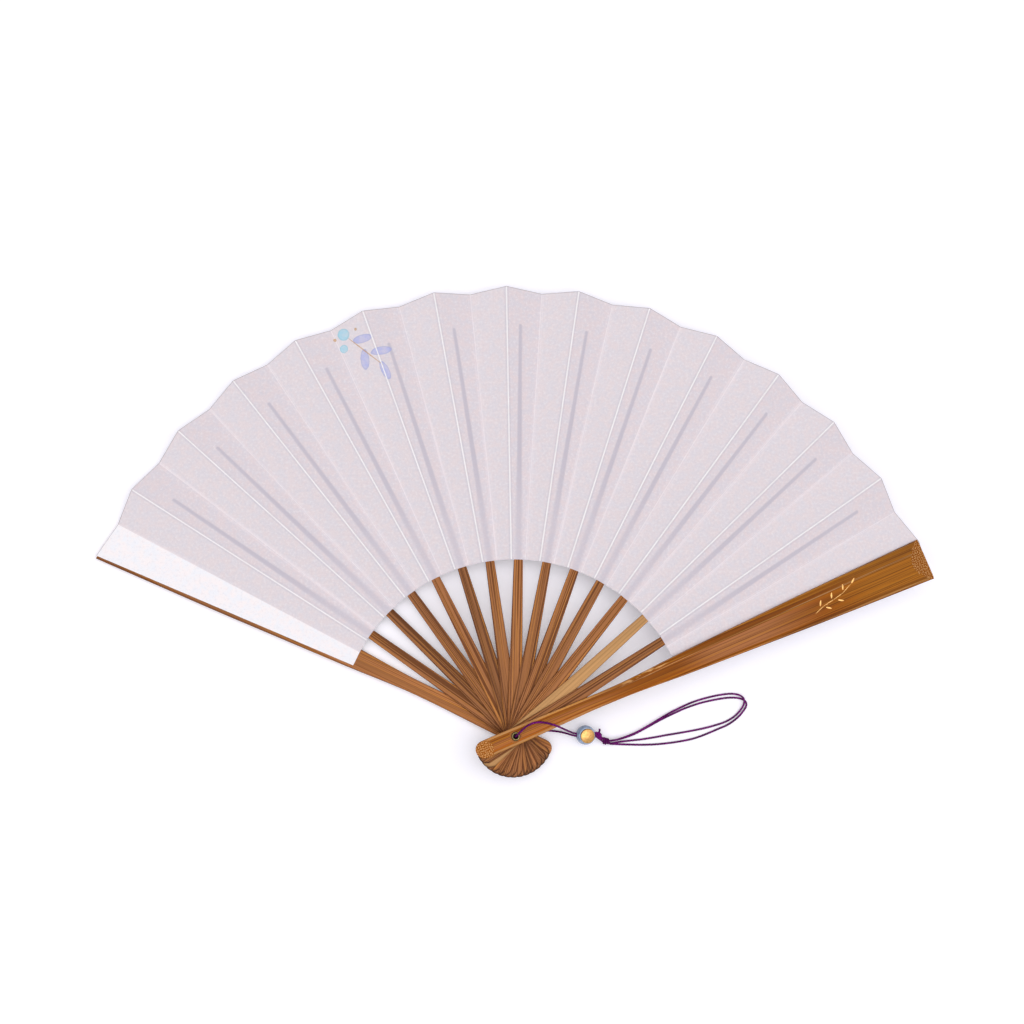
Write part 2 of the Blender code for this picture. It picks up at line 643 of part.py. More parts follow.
def main():
    """Clears the scene and builds the fan."""
    for thing in list(bpy.data.objects):
        bpy.data.objects.remove(thing, do_unlink=True)
    rivet = axis_empty("rivet_axis", None, rivet_place(), 0)
    axes = [
        axis_empty(f"stick_axis_{stick:02d}", rivet, (0, 0, apex_height(stick)), azimuth(stick))
        for stick in range(FRONT + 1)
    ]
    pivot_hole = make_pivot_cutter(rivet)
    make_guards(pivot_hole, axes)
    make_ribs(pivot_hole, axes)
    make_pockets(axes)
    make_folds(axes)
    make_end_panels(axes)
    make_eyelet(rivet)
    cord("cord_front", FRONT_STRAND_ROUTE, STRAND_POINT_SPACING, rivet)
    cord("cord_back", BACK_STRAND_ROUTE, STRAND_POINT_SPACING, rivet)
    cord("cord_loop_outer", OUTER_LOOP_ROUTE, LOOP_POINT_SPACING, rivet)
    cord("cord_loop_inner", INNER_LOOP_ROUTE, LOOP_POINT_SPACING, rivet)
    make_knot(rivet)
    make_bead(rivet)
    bpy.context.view_layer.update()


main()
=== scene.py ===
"""Dresses the folding fan: bamboo sticks, pleated paper leaf, brass eyelet, cord with bead, and studio."""
import json
import math

import bmesh
import bpy
from mathutils import Matrix, Vector


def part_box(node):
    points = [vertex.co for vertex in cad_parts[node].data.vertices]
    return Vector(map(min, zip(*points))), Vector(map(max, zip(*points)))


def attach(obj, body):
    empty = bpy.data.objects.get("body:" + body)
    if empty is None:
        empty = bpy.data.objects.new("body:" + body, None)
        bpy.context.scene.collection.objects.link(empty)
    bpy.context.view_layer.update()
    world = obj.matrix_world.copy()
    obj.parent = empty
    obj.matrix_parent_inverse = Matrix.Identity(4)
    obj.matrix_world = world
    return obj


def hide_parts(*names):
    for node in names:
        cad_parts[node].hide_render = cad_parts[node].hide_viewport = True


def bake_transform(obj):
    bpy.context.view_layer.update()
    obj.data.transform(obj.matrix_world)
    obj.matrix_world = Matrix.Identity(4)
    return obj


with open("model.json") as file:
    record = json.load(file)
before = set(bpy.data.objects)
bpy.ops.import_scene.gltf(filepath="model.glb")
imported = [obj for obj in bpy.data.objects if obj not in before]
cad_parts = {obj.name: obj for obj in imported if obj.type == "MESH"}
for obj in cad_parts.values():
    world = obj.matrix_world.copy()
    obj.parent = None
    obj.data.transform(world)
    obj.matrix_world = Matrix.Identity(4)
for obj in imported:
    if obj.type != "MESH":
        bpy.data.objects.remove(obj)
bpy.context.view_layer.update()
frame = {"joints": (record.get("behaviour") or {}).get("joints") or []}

bl_info = {
    "name": "Folding Fan",
    "version": (1, 0, 0),
    "blender": (4, 5, 0),
    "location": "View3D > Sidebar > Folding Fan",
    "description": "Makes the bamboo, paper, brass, cord and bead of a folding fan, and a plain studio",
    "category": "Add Mesh",
}

MM = 0.001

# The fan's layout, from the joints it turns on. Stick 0 is the back guard and stick FRONT the front one.
JOINTS = {joint["name"]: joint for joint in frame["joints"]}
FRONT = sum(name.startswith("spread_") for name in JOINTS)
RIVET = Vector((*JOINTS["spread_01"]["pos_m"][:2], 0))
STICK_STEP = math.radians(JOINTS["spread_01"]["range_deg"][1])
HALF_PANEL = STICK_STEP / 4
MOUNTAIN, VALLEY = 1, -1
BACK_INNER_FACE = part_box("back_guard")[1].z
FRONT_INNER_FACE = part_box("front_guard")[0].z

# The sticks' outlines as reach from the eyelet and full width
GUARD_OUTLINE = (
    (0.0, 0.0075), (0.016, 0.0069), (0.030, 0.0061), (0.044, 0.0057), (0.056, 0.0064), (0.066, 0.0080),
    (0.076, 0.0092), (0.096, 0.0110), (0.138, 0.0147), (0.1932, 0.0183),
)
RIB_OUTLINE = ((0.0, 0.0074), (0.036, 0.0052), (0.07485, 0.0040))
RIB_TAIL = ((0.0750, 0.0025), (0.1780, 0.0012))
PALE_RIB = 12
DARK_RIBS = (2, 5)
DARK_RIB_TONE = -0.7
RIB_TONE_RANGE = 0.55

# How far the rounded edge of a stick has dropped, at shares of its half width
HALF_DROP_SHARES = (
    (0.35, 0.0), (0.72, 0.01), (0.83, 0.08), (0.90, 0.27), (0.965, 0.50), (0.99, 0.72), (1.0, 1.0),
)
EDGE_DROP_SHARES = (
    *((-share, drop) for share, drop in reversed(HALF_DROP_SHARES)), (0.0, 0.0), *HALF_DROP_SHARES,
)
PANEL_SIDE_SHARES = (0.0, 0.35, 0.7)
RIDGE_SHARES = (-1.0, -0.72, -0.45, -0.2, 0.0, 0.2, 0.45, 0.72, 1.0)

# Distance between the cross-sections of a stick, and the reach over which its outline is smoothed
GUARD_SPACING = 0.0012
GUARD_SMOOTHING = 0.009
RIB_SPACING = 0.0033
RIB_SMOOTHING = 0.006
HOLE_TOOL_DEPTH = 0.02

# How far the grain of a stick and the worn streaks of a panel are shifted from those of the next
GRAIN_SHIFT = 0.37
STREAK_SHIFT = 0.61

# Bands along a guard's face: from and to as shares of its half width, positive towards the leaf,
# how much of the band's colour shows, the colour's name and the zone that the band lies in.
# The pale bands along the long edges and the thin one at 0.46 to 0.53 are painted highlights on the
# rounded edges and facets, on the handle together with the paler shaved bamboo; the bands in grain
# colour are painted shade on the facets and edges beside them; the band in the middle of the blade
# is a painted reddish sheen, and on the handle a worn band. The golden band at the tip is the
# bamboo's own tone.
GUARD_BAND_SHARES = (
    (-1.0, 0.95, 0.42, "golden_bamboo", "tip"), (-0.70, 0.42, 0.72, "sheen_and_worn_skin", "middle"),
    (0.46, 0.53, 0.55, "pale_bamboo_and_highlight", "blade"), (0.60, 0.90, 0.30, "grain", "blade"),
    (0.955, 1.0, 0.60, "pale_bamboo_and_highlight", "blade"),
    (-0.86, -0.74, 0.50, "grain", "blade"), (-0.955, -0.88, 0.55, "pale_bamboo_and_highlight", "blade"),
    (-1.0, -0.98, 0.60, "grain", "blade"), (0.72, 0.97, 0.62, "pale_bamboo_and_highlight", "handle"),
    (-0.97, -0.68, 0.58, "pale_bamboo_and_highlight", "handle"), (-0.50, 0.25, 0.35, "sheen_and_worn_skin", "handle"),
)

# Tone of a guard at shares of its reach, lighter at the handle and darker towards the tip
GUARD_TONE_SHARES = ((0.0, 0.65), (0.2, 0.50), (0.42, 0.15), (0.52, 0.10), (0.72, -0.30), (1.0, -0.15))

# Reaches over which a zone of a guard's face fades in and over which it fades out
GUARD_ZONES = {
    "handle": (None, (0.030, 0.058)),
    "middle": ((0.072, 0.096), (0.110, 0.150)),
    "blade": ((0.030, 0.060), None),
    "tip": ((0.140, 0.172), None),
}
BAND_BLUR_SHARE = 0.02
GILT_FADE = (0.040, 0.090)

# Distances from a fold, the rim or a tail's edge between which a line or shade on the paper fades
CREST_LINE = (0.00014, 0.00027)
CREST_SHADE_START = (0.0003, 0.0005)
CREST_SHADE_END = (0.0006, 0.0012)
VALLEY_LINE = (0.00010, 0.00026)
VALLEY_STREAKS = (0.0003, 0.0016)
RIM_LINE = (0.00022, 0.00040)
TAIL_BLUR = (-0.00035, 0.00050)
TAIL_FADE = (-0.100, -0.045)
NO_TAIL = (1.0, 0.0, 0.0)
WARM_PAPER_SHARES = (1.025, 0.985, 0.98)
COOL_PAPER_SHARES = (0.965, 0.985, 1.015)

# Depth of each finish's fine relief
BAMBOO_RELIEF = 0.00007
PAPER_RELIEF = 0.00006
CORD_RELIEF = 0.00008
GLAZE_RELIEF = 0.00005
BRASS_RELIEF = 0.00002
GOLD_RELIEF = 0.0001
PAINT_RELIEF = 0.00003

# Routes of the cord in millimetres from the eyelet's axis and up from the table
FRONT_STRAND_ROUTE = (
    (0.0, 0.0, 9.95), (0.0, 0.0, 13.0), (0.0, 0.0, 16.0), (0.0, 0.0, 18.0), (0.45, 0.55, 19.45),
    (1.6, 1.9, 20.3), (3.4, 3.6, 20.2), (5.6, 5.05, 19.6), (7.8, 5.75, 18.95), (9.9, 5.9, 18.4),
    (12.2, 5.7, 18.15), (14.5, 5.2, 18.1), (16.6, 4.55, 18.15), (18.5, 3.8, 18.1),
    (20.2, 3.05, 17.2), (21.3, 2.5, 15.4), (22.1, 2.1, 13.0), (22.8, 1.7, 10.4), (23.6, 1.3, 7.9),
    (24.7, 0.85, 5.8), (26.3, 0.25, 4.55), (28.6, 0.0, 4.2), (31.2, 0.0, 4.2), (33.6, 0.0, 4.2),
    (35.15, 0.0, 4.2),
)
BACK_STRAND_ROUTE = (
    (0.0, 0.0, 9.65), (0.0, 0.0, 6.5), (0.0, 0.0, 4.0), (0.0, 0.0, 2.75), (0.15, 0.03, 1.86),
    (0.62, 0.11, 1.14), (1.33, 0.24, 0.66), (2.2, 0.38, 0.5), (4.2, 0.62, 0.5), (8.0, 0.95, 0.5),
    (12.0, 1.15, 0.52), (16.0, 1.1, 0.75), (19.8, 0.75, 1.35), (23.0, 0.1, 2.4), (25.7, -0.65, 3.5),
    (28.2, -1.0, 4.12), (31.2, -1.0, 4.2), (33.6, -1.0, 4.2), (35.15, -1.0, 4.2),
)
OUTER_LOOP_ROUTE = (
    (42.55, -3.15, 1.75), (45.5, -2.75, 1.3), (49.0, -1.9, 0.55), (53.0, -0.45, 0.5),
    (58.5, 2.35, 0.5), (63.0, 4.8, 0.5), (67.3, 6.95, 0.5), (71.6, 8.95, 0.5), (75.9, 10.8, 0.5),
    (81.3, 12.6, 0.5), (86.1, 13.8, 0.5), (91.5, 14.8, 0.5), (95.2, 15.2, 0.5), (98.5, 15.1, 0.5),
    (100.9, 14.5, 0.5), (102.3, 13.5, 0.5), (102.7, 12.2, 0.5), (102.2, 10.7, 0.5),
    (100.9, 8.9, 0.5), (99.2, 7.0, 0.5), (96.7, 4.95, 0.5), (93.6, 3.1, 0.5), (90.2, 1.7, 0.5),
    (85.9, -0.1, 0.5), (82.2, -1.5, 0.5), (77.9, -2.8, 0.5), (72.5, -3.8, 0.5), (67.2, -4.5, 0.5),
    (61.9, -4.95, 0.5), (56.6, -5.1, 0.5), (51.3, -5.0, 0.5), (47.0, -4.85, 0.6), (42.35, -4.6, 1.0),
)
INNER_LOOP_ROUTE = (
    (42.35, -3.1, 3.1), (45.5, -2.55, 2.8), (49.0, -1.5, 2.0), (53.2, 0.1, 1.68), (57.7, 2.45, 1.65),
    (62.0, 4.95, 1.55), (67.3, 8.0, 1.2), (72.7, 10.65, 0.8), (78.1, 13.0, 0.5), (83.4, 14.7, 0.5),
    (88.8, 16.0, 0.5), (93.6, 16.75, 0.5), (96.9, 16.85, 0.75), (99.3, 16.4, 1.25),
    (100.9, 15.35, 1.62), (101.5, 13.8, 1.62), (101.05, 11.7, 1.3), (99.8, 9.65, 0.9),
    (98.0, 7.65, 0.6), (95.4, 5.8, 0.5), (92.2, 4.3, 0.5), (87.6, 2.9, 0.5), (83.3, 1.85, 0.5),
    (77.9, 0.8, 0.5), (72.6, -0.1, 0.5), (67.2, -0.95, 0.5), (61.9, -1.9, 0.5), (56.6, -2.7, 0.5),
    (52.0, -3.2, 0.5), (48.2, -3.55, 0.85), (45.2, -3.9, 1.5), (42.55, -4.35, 2.25),
)
KNOT_CORE = (40.2, -3.3, 2.15)
KNOT_STRANDS = (
    (
        (35.25, 0.0, 4.2), (36.2, -0.1, 4.15), (37.3, -0.8, 3.85), (38.5, -1.9, 3.2), (39.6, -2.8, 2.6),
        (40.6, -3.2, 2.3),
    ),
    (
        (35.25, -1.0, 4.2), (36.1, -1.4, 4.0), (37.1, -2.1, 3.4), (38.2, -2.9, 2.7), (39.3, -3.6, 2.2),
        (40.4, -3.9, 1.9),
    ),
    ((35.3, 0.35, 4.75), (35.9, 0.55, 5.1), (36.6, 0.2, 4.9), (37.3, -0.5, 4.4), (38.1, -1.3, 3.8)),
    ((35.3, -0.5, 4.75), (35.8, -0.6, 4.95), (36.5, -0.9, 4.6), (37.3, -1.5, 4.0), (38.3, -2.2, 3.3)),
    ((37.9, -1.5, 4.1), (37.3, -0.5, 4.3), (37.2, 0.6, 4.2), (37.35, 1.5, 4.1), (37.3, 2.15, 4.1)),
)

# Each wrap of the knot: its centre, the axis it turns on, its radius and its turns
KNOT_WRAPS = (
    ((37.1, -0.85, 3.6), (0.66, -0.64, -0.38), 1.0, 2.0),
    ((40.1, -3.3, 2.15), (0.95, -0.28, -0.12), 1.15, 2.6),
)
WRAP_STEPS = 12
WRAP_PITCH_SHARE = 0.98
LOOP_OVERLAP = 0.02
CORD_ROUTES = {
    "cord_front": FRONT_STRAND_ROUTE,
    "cord_back": BACK_STRAND_ROUTE,
    "cord_loop_outer": OUTER_LOOP_ROUTE,
    "cord_loop_inner": INNER_LOOP_ROUTE,
}

# The cord's cross-section, and the spacing of its sections as a share of its diameter
CORD_SIDES = 12
CORD_STRANDS = 3
CORD_GROOVE_SHARE = 0.07
CORD_SPACING_SHARE = 0.4

# Rounded edges of the bead and its gold face, as shares of their radii
BEAD_LIP_SHARE = 0.1
BEAD_RIM_SHARE = 0.03
FACE_RIM_SHARE = 0.16
FACE_GAP_SHARE = 0.02
FACE_DOME_SHARE = 0.2

# The print on the leaf: a sprig of petals and berries, in millimetres from the origin in plan.
# Each spot is across, up, half length, half width and its turn in degrees.
PETAL_SPOTS = (
    (-67.6, 82.4, 4.3, 1.8, 14), (-66.4, 73.4, 4.6, 1.9, -84), (-59.4, 77.2, 4.6, 1.8, 12),
    (-57.6, 68.6, 4.4, 1.7, -62),
)
BERRY_SPOTS = ((-75.8, 84.4, 2.6, 2.6, 0), (-75.6, 78.2, 1.8, 1.8, 0))
GOLD_SPOTS = ((-66.2, 76.9, 9.6, 0.26, -38), (-79.6, 82.0, 0.7, 0.7, 0), (-70.6, 86.6, 0.6, 0.6, 0))

# The sprig on the front guard: stem points as reach and across, and leaves as reach, across and
# turn in degrees, in millimetres
SPRIG_STEM = ((139.0, -2.6), (143.5, -1.0), (148.5, -0.2), (153.5, 0.9), (158.0, 3.0))
SPRIG_LEAVES = (
    (142.6, 0.6, 62), (145.2, -2.6, -34), (148.4, 1.8, 66), (151.4, -1.7, -30), (154.4, 3.2, 70),
    (159.6, 4.0, 38),
)
STEM_OVERLAP_SHARE = 0.54
STEM_HALF_WIDTH = 0.00016
LEAF_HALF_LENGTH = 0.0013
LEAF_HALF_WIDTH = 0.00036
PAINT_HEIGHT = 0.00005


def a_length(name, default, description):
    """A length that a user may change."""
    return bpy.props.FloatProperty(
        name=name, description=description, default=default, unit="LENGTH", precision=5,
    )


def an_angle(name, degrees, description):
    """An angle that a user may change."""
    return bpy.props.FloatProperty(
        name=name, description=description, default=math.radians(degrees), unit="ROTATION",
    )


def a_number(name, default, description):
    """A plain number that a user may change."""
    return bpy.props.FloatProperty(name=name, description=description, default=default)


def a_colour(name, default, description):
    """A colour, in linear values, that a user may change."""
    return bpy.props.FloatVectorProperty(
        name=name, description=description, default=default, subtype="COLOR", size=3, min=0, max=1,
    )


class FanSticks(bpy.types.PropertyGroup):
    """Sizes of the guards and ribs."""

    handle_reach: a_length("Handle Reach", 0.018, "From the eyelet to the round end of a handle")
    guard_thickness: a_length("Guard Thickness", 0.0035, "Thickness of a guard's blade")
    guard_handle_thickness: a_length(
        "Guard Handle Thickness", 0.0014, "Thickness of a guard at its shaved handle",
    )
    guard_edge: a_length("Guard Edge", 0.0009, "Drop of a guard's rounded long edges")
    guard_relief: a_length(
        "Guard Relief", 0.0018, "Hollow of a guard's inner face at its tip, for the leaf",
    )
    shave_start: a_length("Shave Start", 0.031, "Reach at which the thin handle ends")
    shave_end: a_length("Shave End", 0.046, "Reach at which the full thickness starts")
    shave_fade: a_length("Shave Fade", 0.010, "Length over which the pale chips of the shave fade out")
    rib_thickness: a_length("Rib Thickness", 0.00075, "Thickness of a rib's handle and blade")
    shoulder_thickness: a_length("Shoulder Thickness", 0.0006, "Thickness of a rib at the leaf")
    tail_thickness: a_length("Tail Thickness", 0.00035, "Thickness of a rib's tail inside the leaf")
    tail_drift: a_length("Tail Drift", 0.0014, "How far a tail's tip lies off its panel's middle line")
    twist_length: a_length(
        "Twist Length", 0.011, "Length over which a rib turns into its panel's lean",
    )
    rib_edge: a_length("Rib Edge", 0.00016, "Drop of a rib's rounded long edges")
    char_width: a_length("Char Width", 0.0011, "Width of the scorched rim on a rib's round end")
    hole_radius: a_length("Hole Radius", 0.00168, "Radius of the hole that the eyelet passes through")
    tip_trim: a_length("Tip Trim", 0.0005, "How much the back guard's tip is cut back under the leaf")
    tip_slant: a_length(
        "Tip Slant", 0.0012, "How much more it is cut back towards the leaf than in the middle",
    )
    stipple_edge: a_length(
        "Stipple Edge", 0.0016, "Length of the stippled tip of a guard, at its edges",
    )
    stipple_crown: a_length(
        "Stipple Crown", 0.0056, "How much longer the stippled tip is in the middle",
    )
    stipple_handle: a_length(
        "Stipple Handle", 0.0082, "Length of the stippled handle end of a guard",
    )
    stipple_fade: a_length("Stipple Fade", 0.0012, "Length over which the stippling starts")
    stipple_turn: an_angle("Stipple Turn", 40, "Turn of the stippling's rows from the stick's length")


class FanLeaf(bpy.types.PropertyGroup):
    """Sizes of the paper leaf."""

    inner_radius: a_length("Inner Radius", 0.075, "From the eyelet to the leaf's inner edge")
    mountain_radius: a_length(
        "Mountain Radius", 0.1944, "From the eyelet to the outer end of a mountain fold",
    )
    valley_radius: a_length(
        "Valley Radius", 0.1922, "From the eyelet to the outer end of a valley fold",
    )
    paper: a_length("Paper", 0.00025, "Thickness of the leaf's two layers of paper")
    ridge_height: a_length("Ridge Height", 0.00018, "How far the paper bulges over a rib's tail")
    ridge_slope: a_length("Ridge Slope", 0.0009, "Width of paper that slopes down beside a tail")


class FanCord(bpy.types.PropertyGroup):
    """Sizes of the cord, its knot and the bead."""

    diameter: a_length("Cord Diameter", 0.0009, "Thickness of the twisted cord")
    twist: a_length("Twist", 0.0042, "Length of one turn of the cord's strands")
    bead_radius: a_length("Bead Radius", 0.0042, "Radius of the bead")
    bore_radius: a_length("Bore Radius", 0.0012, "Radius of the bead's bore")
    face_radius: a_length("Face Radius", 0.00315, "Radius of the gold face")
    face_seat: a_length(
        "Face Seat", 0.00236, "From the bead's centre to the seat of the gold face",
    )
    face_tilt: an_angle("Face Tilt", 12, "Lean of the gold face from upright")
    face_heading: an_angle("Face Heading", -25, "Direction in which the gold face leans")


class FanEyelet(bpy.types.PropertyGroup):
    """Sizes of the eyelet's two pressed pieces."""

    bore: a_length("Bore", 0.0010, "Radius of the bore that the cord runs through")
    flange: a_length("Flange", 0.0019, "Radius of the rolled flanges")
    roll: a_length("Roll", 0.00045, "Radius of a flange's rolled lip")
    barrel: a_length("Barrel", 0.00135, "Radius of the barrel that the sticks turn on")
    collar_inner: a_length("Collar Inside", 0.00143, "Inner radius of the back flange's collar")
    collar_outer: a_length("Collar Outside", 0.00158, "Outer radius of the back flange's collar")
    collar_length: a_length("Collar Length", 0.0012, "Length of the back flange's collar")
    dark_start: a_length("Dark Start", 0.00152, "Radius at which the flange starts to darken")
    dark_end: a_length("Dark End", 0.00178, "Radius from which the flange is nearly black")


class FanColours(bpy.types.PropertyGroup):
    """Colours of the finishes, in linear values."""

    bamboo: a_colour("Bamboo", (0.345, 0.132, 0.043), "Smoked bamboo of the ribs")
    guard: a_colour("Guard", (0.290, 0.076, 0.002), "Polished bamboo skin of the guards")
    # Also painted as shade on a guard's facets and edges
    grain: a_colour("Grain", (0.105, 0.027, 0.004), "Dark lines of the bamboo's grain")
    # Also painted as highlights along a guard's rounded edges and facets
    pale_bamboo_and_highlight: a_colour(
        "Pale Bamboo", (0.57, 0.305, 0.120), "The one pale rib and freshly cut bamboo",
    )
    golden_bamboo: a_colour("Golden Bamboo", (0.54, 0.215, 0.022), "Golden streaks of the bamboo")
    # Painted as a reddish sheen on the middle of a blade, and as a worn band on a handle
    sheen_and_worn_skin: a_colour("Worn Skin", (0.44, 0.175, 0.070), "Reddish worn middle of a guard's face")
    paper: a_colour("Paper", (0.745, 0.673, 0.708), "Lavender-grey handmade paper")
    # Also painted onto the fold panels to lighten them against the shade of their steeper slope
    white_paper: a_colour("White Paper", (0.955, 0.925, 0.95), "The end panels and the worn flecks")
    crest: a_colour("Crest", (0.97, 0.95, 0.97), "White line along a mountain fold")
    valley_line: a_colour("Valley Line", (0.97, 0.89, 0.93), "Faint line along a valley fold")
    valley_streak: a_colour("Valley Streak", (0.96, 0.86, 0.90), "Worn streaks beside a valley fold")
    cut_rim: a_colour("Cut Rim", (0.36, 0.33, 0.35), "Shaded cut edge of the leaf's rim")
    rib_shade: a_colour("Rib Shade", (0.53, 0.49, 0.575), "Paper where a rib's tail shows through")
    petal: a_colour("Petal", (0.44, 0.47, 0.80), "Periwinkle petals of the print")
    berry: a_colour("Berry", (0.33, 0.66, 0.82), "Pale cyan berries of the print")
    gold: a_colour("Gold", (0.575, 0.32, 0.11), "Gold of the bead's face and the painted sprig")
    brass: a_colour("Brass", (0.22, 0.17, 0.07), "Darkened brass of the eyelet")
    cord: a_colour("Cord", (0.060, 0.001, 0.056), "Dark purple cord")
    cord_light: a_colour("Cord Light", (0.360, 0.012, 0.330), "Magenta fibres of the cord")
    glaze: a_colour("Glaze", (0.25, 0.34, 0.50), "Blue-grey glaze of the bead")


class FanStudio(bpy.types.PropertyGroup):
    """The camera, the floor and the light."""

    camera_place: bpy.props.FloatVectorProperty(
        name="Camera Place", description="Where the camera hangs over the fan", subtype="TRANSLATION",
        size=3, default=(-0.04566, -0.04376, 0.62065),
    )
    camera_turn: bpy.props.FloatVectorProperty(
        name="Camera Turn", description="How the camera is turned", subtype="EULER", size=3,
        default=(math.radians(4.755), math.radians(-4.052), math.radians(0.087)),
    )
    lens: a_number("Lens", 50, "Focal length in millimetres")
    sensor: a_number("Sensor", 36, "Width of the camera's sensor in millimetres")
    clip_start: a_length("Clip Start", 0.01, "Nearest distance that the camera sees")
    floor_size: a_length("Floor Size", 6, "Width of the floor")
    floor_gap: a_length("Floor Gap", 0.00015, "Gap between the fan and the floor")
    floor_colour: a_colour("Floor Colour", (0.86, 0.845, 0.92), "Colour of the floor")
    floor_glow: a_number("Floor Glow", 0.20, "Light that the floor seems to give off to the camera")
    sky_colour: a_colour("Sky Colour", (0.985, 0.985, 1.0), "Colour of the even light and background")
    sky_light: a_number("Sky Light", 0.18, "Strength of the even light from all round")
    sun_light: a_number("Side Light", 1.36, "Strength of each of the two soft side lights")
    sun_lean: an_angle("Side Light Lean", 18, "How far each side light leans from straight above")
    sun_spread: an_angle("Side Light Spread", 64, "How wide each side light looks from the fan")


GROUPS = {
    "fan_sticks": FanSticks,
    "fan_leaf": FanLeaf,
    "fan_cord": FanCord,
    "fan_eyelet": FanEyelet,
    "fan_colours": FanColours,
    "fan_studio": FanStudio,
}


# Layout of the fan


def azimuth(stick):
    """Direction of a stick from the eyelet, seen from above."""
    first = -Vector(JOINTS["crease_01"]["axis"])
    return math.atan2(first.y, first.x) + HALF_PANEL - stick * STICK_STEP


def crease_slope(name):
    """Rise per metre outwards of a valley fold."""
    outward = -Vector(JOINTS[name]["axis"])
    return outward.z / outward.xy.length


def leaf_apex(stick):
    """Height at which a stick's panel would meet the eyelet's axis."""
    if stick:
        return JOINTS[f"spread_{stick:02d}"]["pos_m"][2]
    spot = Vector(JOINTS["crease_01"]["pos_m"])
    return spot.z - crease_slope("crease_01") * (spot - RIVET).xy.length


def fold_point(stick, side, radius):
    """A point of a stick's mountain or valley fold."""
    if stick == 0:
        slope = crease_slope("crease_01")
    elif stick == FRONT:
        slope = -crease_slope("crease_01")
    else:
        slope = -side * crease_slope("crease_02")
    turn = azimuth(stick) + side * HALF_PANEL
    height = leaf_apex(stick) + slope * radius
    return RIVET + Vector((radius * math.cos(turn), radius * math.sin(turn), height))


def panel_lean():
    """Angle at which a rib's panel leans about the rib."""
    return math.atan2(-crease_slope("crease_02"), math.sin(HALF_PANEL))


def stick_frame(stick, height):
    """Turns a place on a stick, as reach, across and up, into a place on the fan."""
    return Matrix.Translation(RIVET + Vector((0, 0, height))) @ Matrix.Rotation(azimuth(stick), 4, "Z")


def body_name(stick):
    """The body that carries a stick."""
    if stick == 0:
        return "back_stick"
    return "front_stick" if stick == FRONT else f"rib_stick_{stick:02d}"


def along(table, reach):
    """The value at a reach, from a table of reaches and values."""
    for (near, first), (far, second) in zip(table, table[1:]):
        if reach <= far:
            return first + (second - first) * (reach - near) / (far - near)
    return table[-1][1]


def eased(share):
    """Smooth step from 0 to 1."""
    share = min(max(share, 0), 1)
    return share * share * (3 - 2 * share)


def wobble(number, seed):
    """A fixed value between -1 and 1 for a numbered piece."""
    return math.sin(number * 12.9898 + seed * 78.233) * math.cos(number * 4.137 + seed)


def arc(start, turn, steps):
    """Even angles from a start through a turn."""
    return [start + turn * step / steps for step in range(steps + 1)]


def tail_share(reach):
    """How far along its tail a reach lies."""
    return min(max((reach - RIB_TAIL[0][0]) / (RIB_TAIL[1][0] - RIB_TAIL[0][0]), 0), 1)


def charred_share(sizes, reach, across):
    """How dark the scorched rim of a rib's round end is."""
    half = RIB_OUTLINE[0][1] / 2
    centre = half - sizes.handle_reach
    if reach > centre:
        return 0.0
    inside = half - math.hypot(reach - centre, across)
    return float(eased(1 - inside / sizes.char_width) * eased((centre - reach) / half * 2))


def shaved_share(sizes, reach, share):
    """How far a guard's skin is shaved off at its neck, more on the edge towards the leaf."""
    rise = eased((reach - sizes.shave_end) / sizes.shave_fade)
    fall = eased((sizes.shave_end + 3 * sizes.shave_fade - reach) / sizes.shave_fade)
    return rise * fall * eased((share - 0.45) / 0.4)


# Meshes


def lattice(columns, rows, thick):
    """A grid, or two grids joined by walls, on coordinates of -1 to 1."""
    work = bmesh.new()
    bmesh.ops.create_grid(work, x_segments=columns, y_segments=rows, size=1)
    if thick:
        grown = bmesh.ops.extrude_face_region(work, geom=work.faces[:])
        upper = [item for item in grown["geom"] if isinstance(item, bmesh.types.BMVert)]
        bmesh.ops.translate(work, verts=upper, vec=(0, 0, 1))
    return work


def shaped(name, work, columns, rows, shape):
    """Moves each vertex of a lattice where shape says, and stores the values that come with it."""
    stored = {}
    for vertex in work.verts:
        column = round((vertex.co.x + 1) / 2 * columns)
        row = round((vertex.co.y + 1) / 2 * rows)
        spot, values = shape(column, row, round(vertex.co.z))
        vertex.co = spot
        for key, value in values.items():
            stored.setdefault(key, []).append(value)
    bmesh.ops.recalc_face_normals(work, faces=work.faces)
    data = bpy.data.meshes.new(name)
    work.to_mesh(data)
    work.free()
    for key, values in stored.items():
        if isinstance(values[0], float):
            data.attributes.new(key, "FLOAT", "POINT").data.foreach_set("value", values)
        else:
            flat = [part for value in values for part in value]
            data.attributes.new(key, "FLOAT_VECTOR", "POINT").data.foreach_set("vector", flat)
    return data


def from_work(name, work):
    """Turns a bmesh into mesh data with its faces outwards."""
    bmesh.ops.recalc_face_normals(work, faces=work.faces)
    data = bpy.data.meshes.new(name)
    work.to_mesh(data)
    work.free()
    return data


def spun(outline, axis, steps, closed):
    """Turns an outline of points about an axis through the origin."""
    work = bmesh.new()
    points = [work.verts.new(point) for point in outline]
    pairs = list(zip(points, points[1:]))
    if closed:
        pairs.append((points[-1], points[0]))
    for here, there in pairs:
        work.edges.new((here, there))
    bmesh.ops.spin(
        work, geom=work.verts[:] + work.edges[:], cent=(0, 0, 0), axis=axis,
        angle=math.tau, steps=steps, use_merge=True,
    )
    bmesh.ops.remove_doubles(work, verts=work.verts, dist=MM * MM)
    return work


def piece(name, data, material, body, nodes, sharp=40):
    """Puts mesh data in the scene as a piece of the fan."""
    thing = bpy.data.objects.new(name, data)
    bpy.context.scene.collection.objects.link(thing)
    data.materials.append(material)
    data.shade_smooth()
    data.set_sharp_from_angle(angle=math.radians(sharp))
    if body:
        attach(thing, body)
    if nodes:
        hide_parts(*nodes)
    return thing


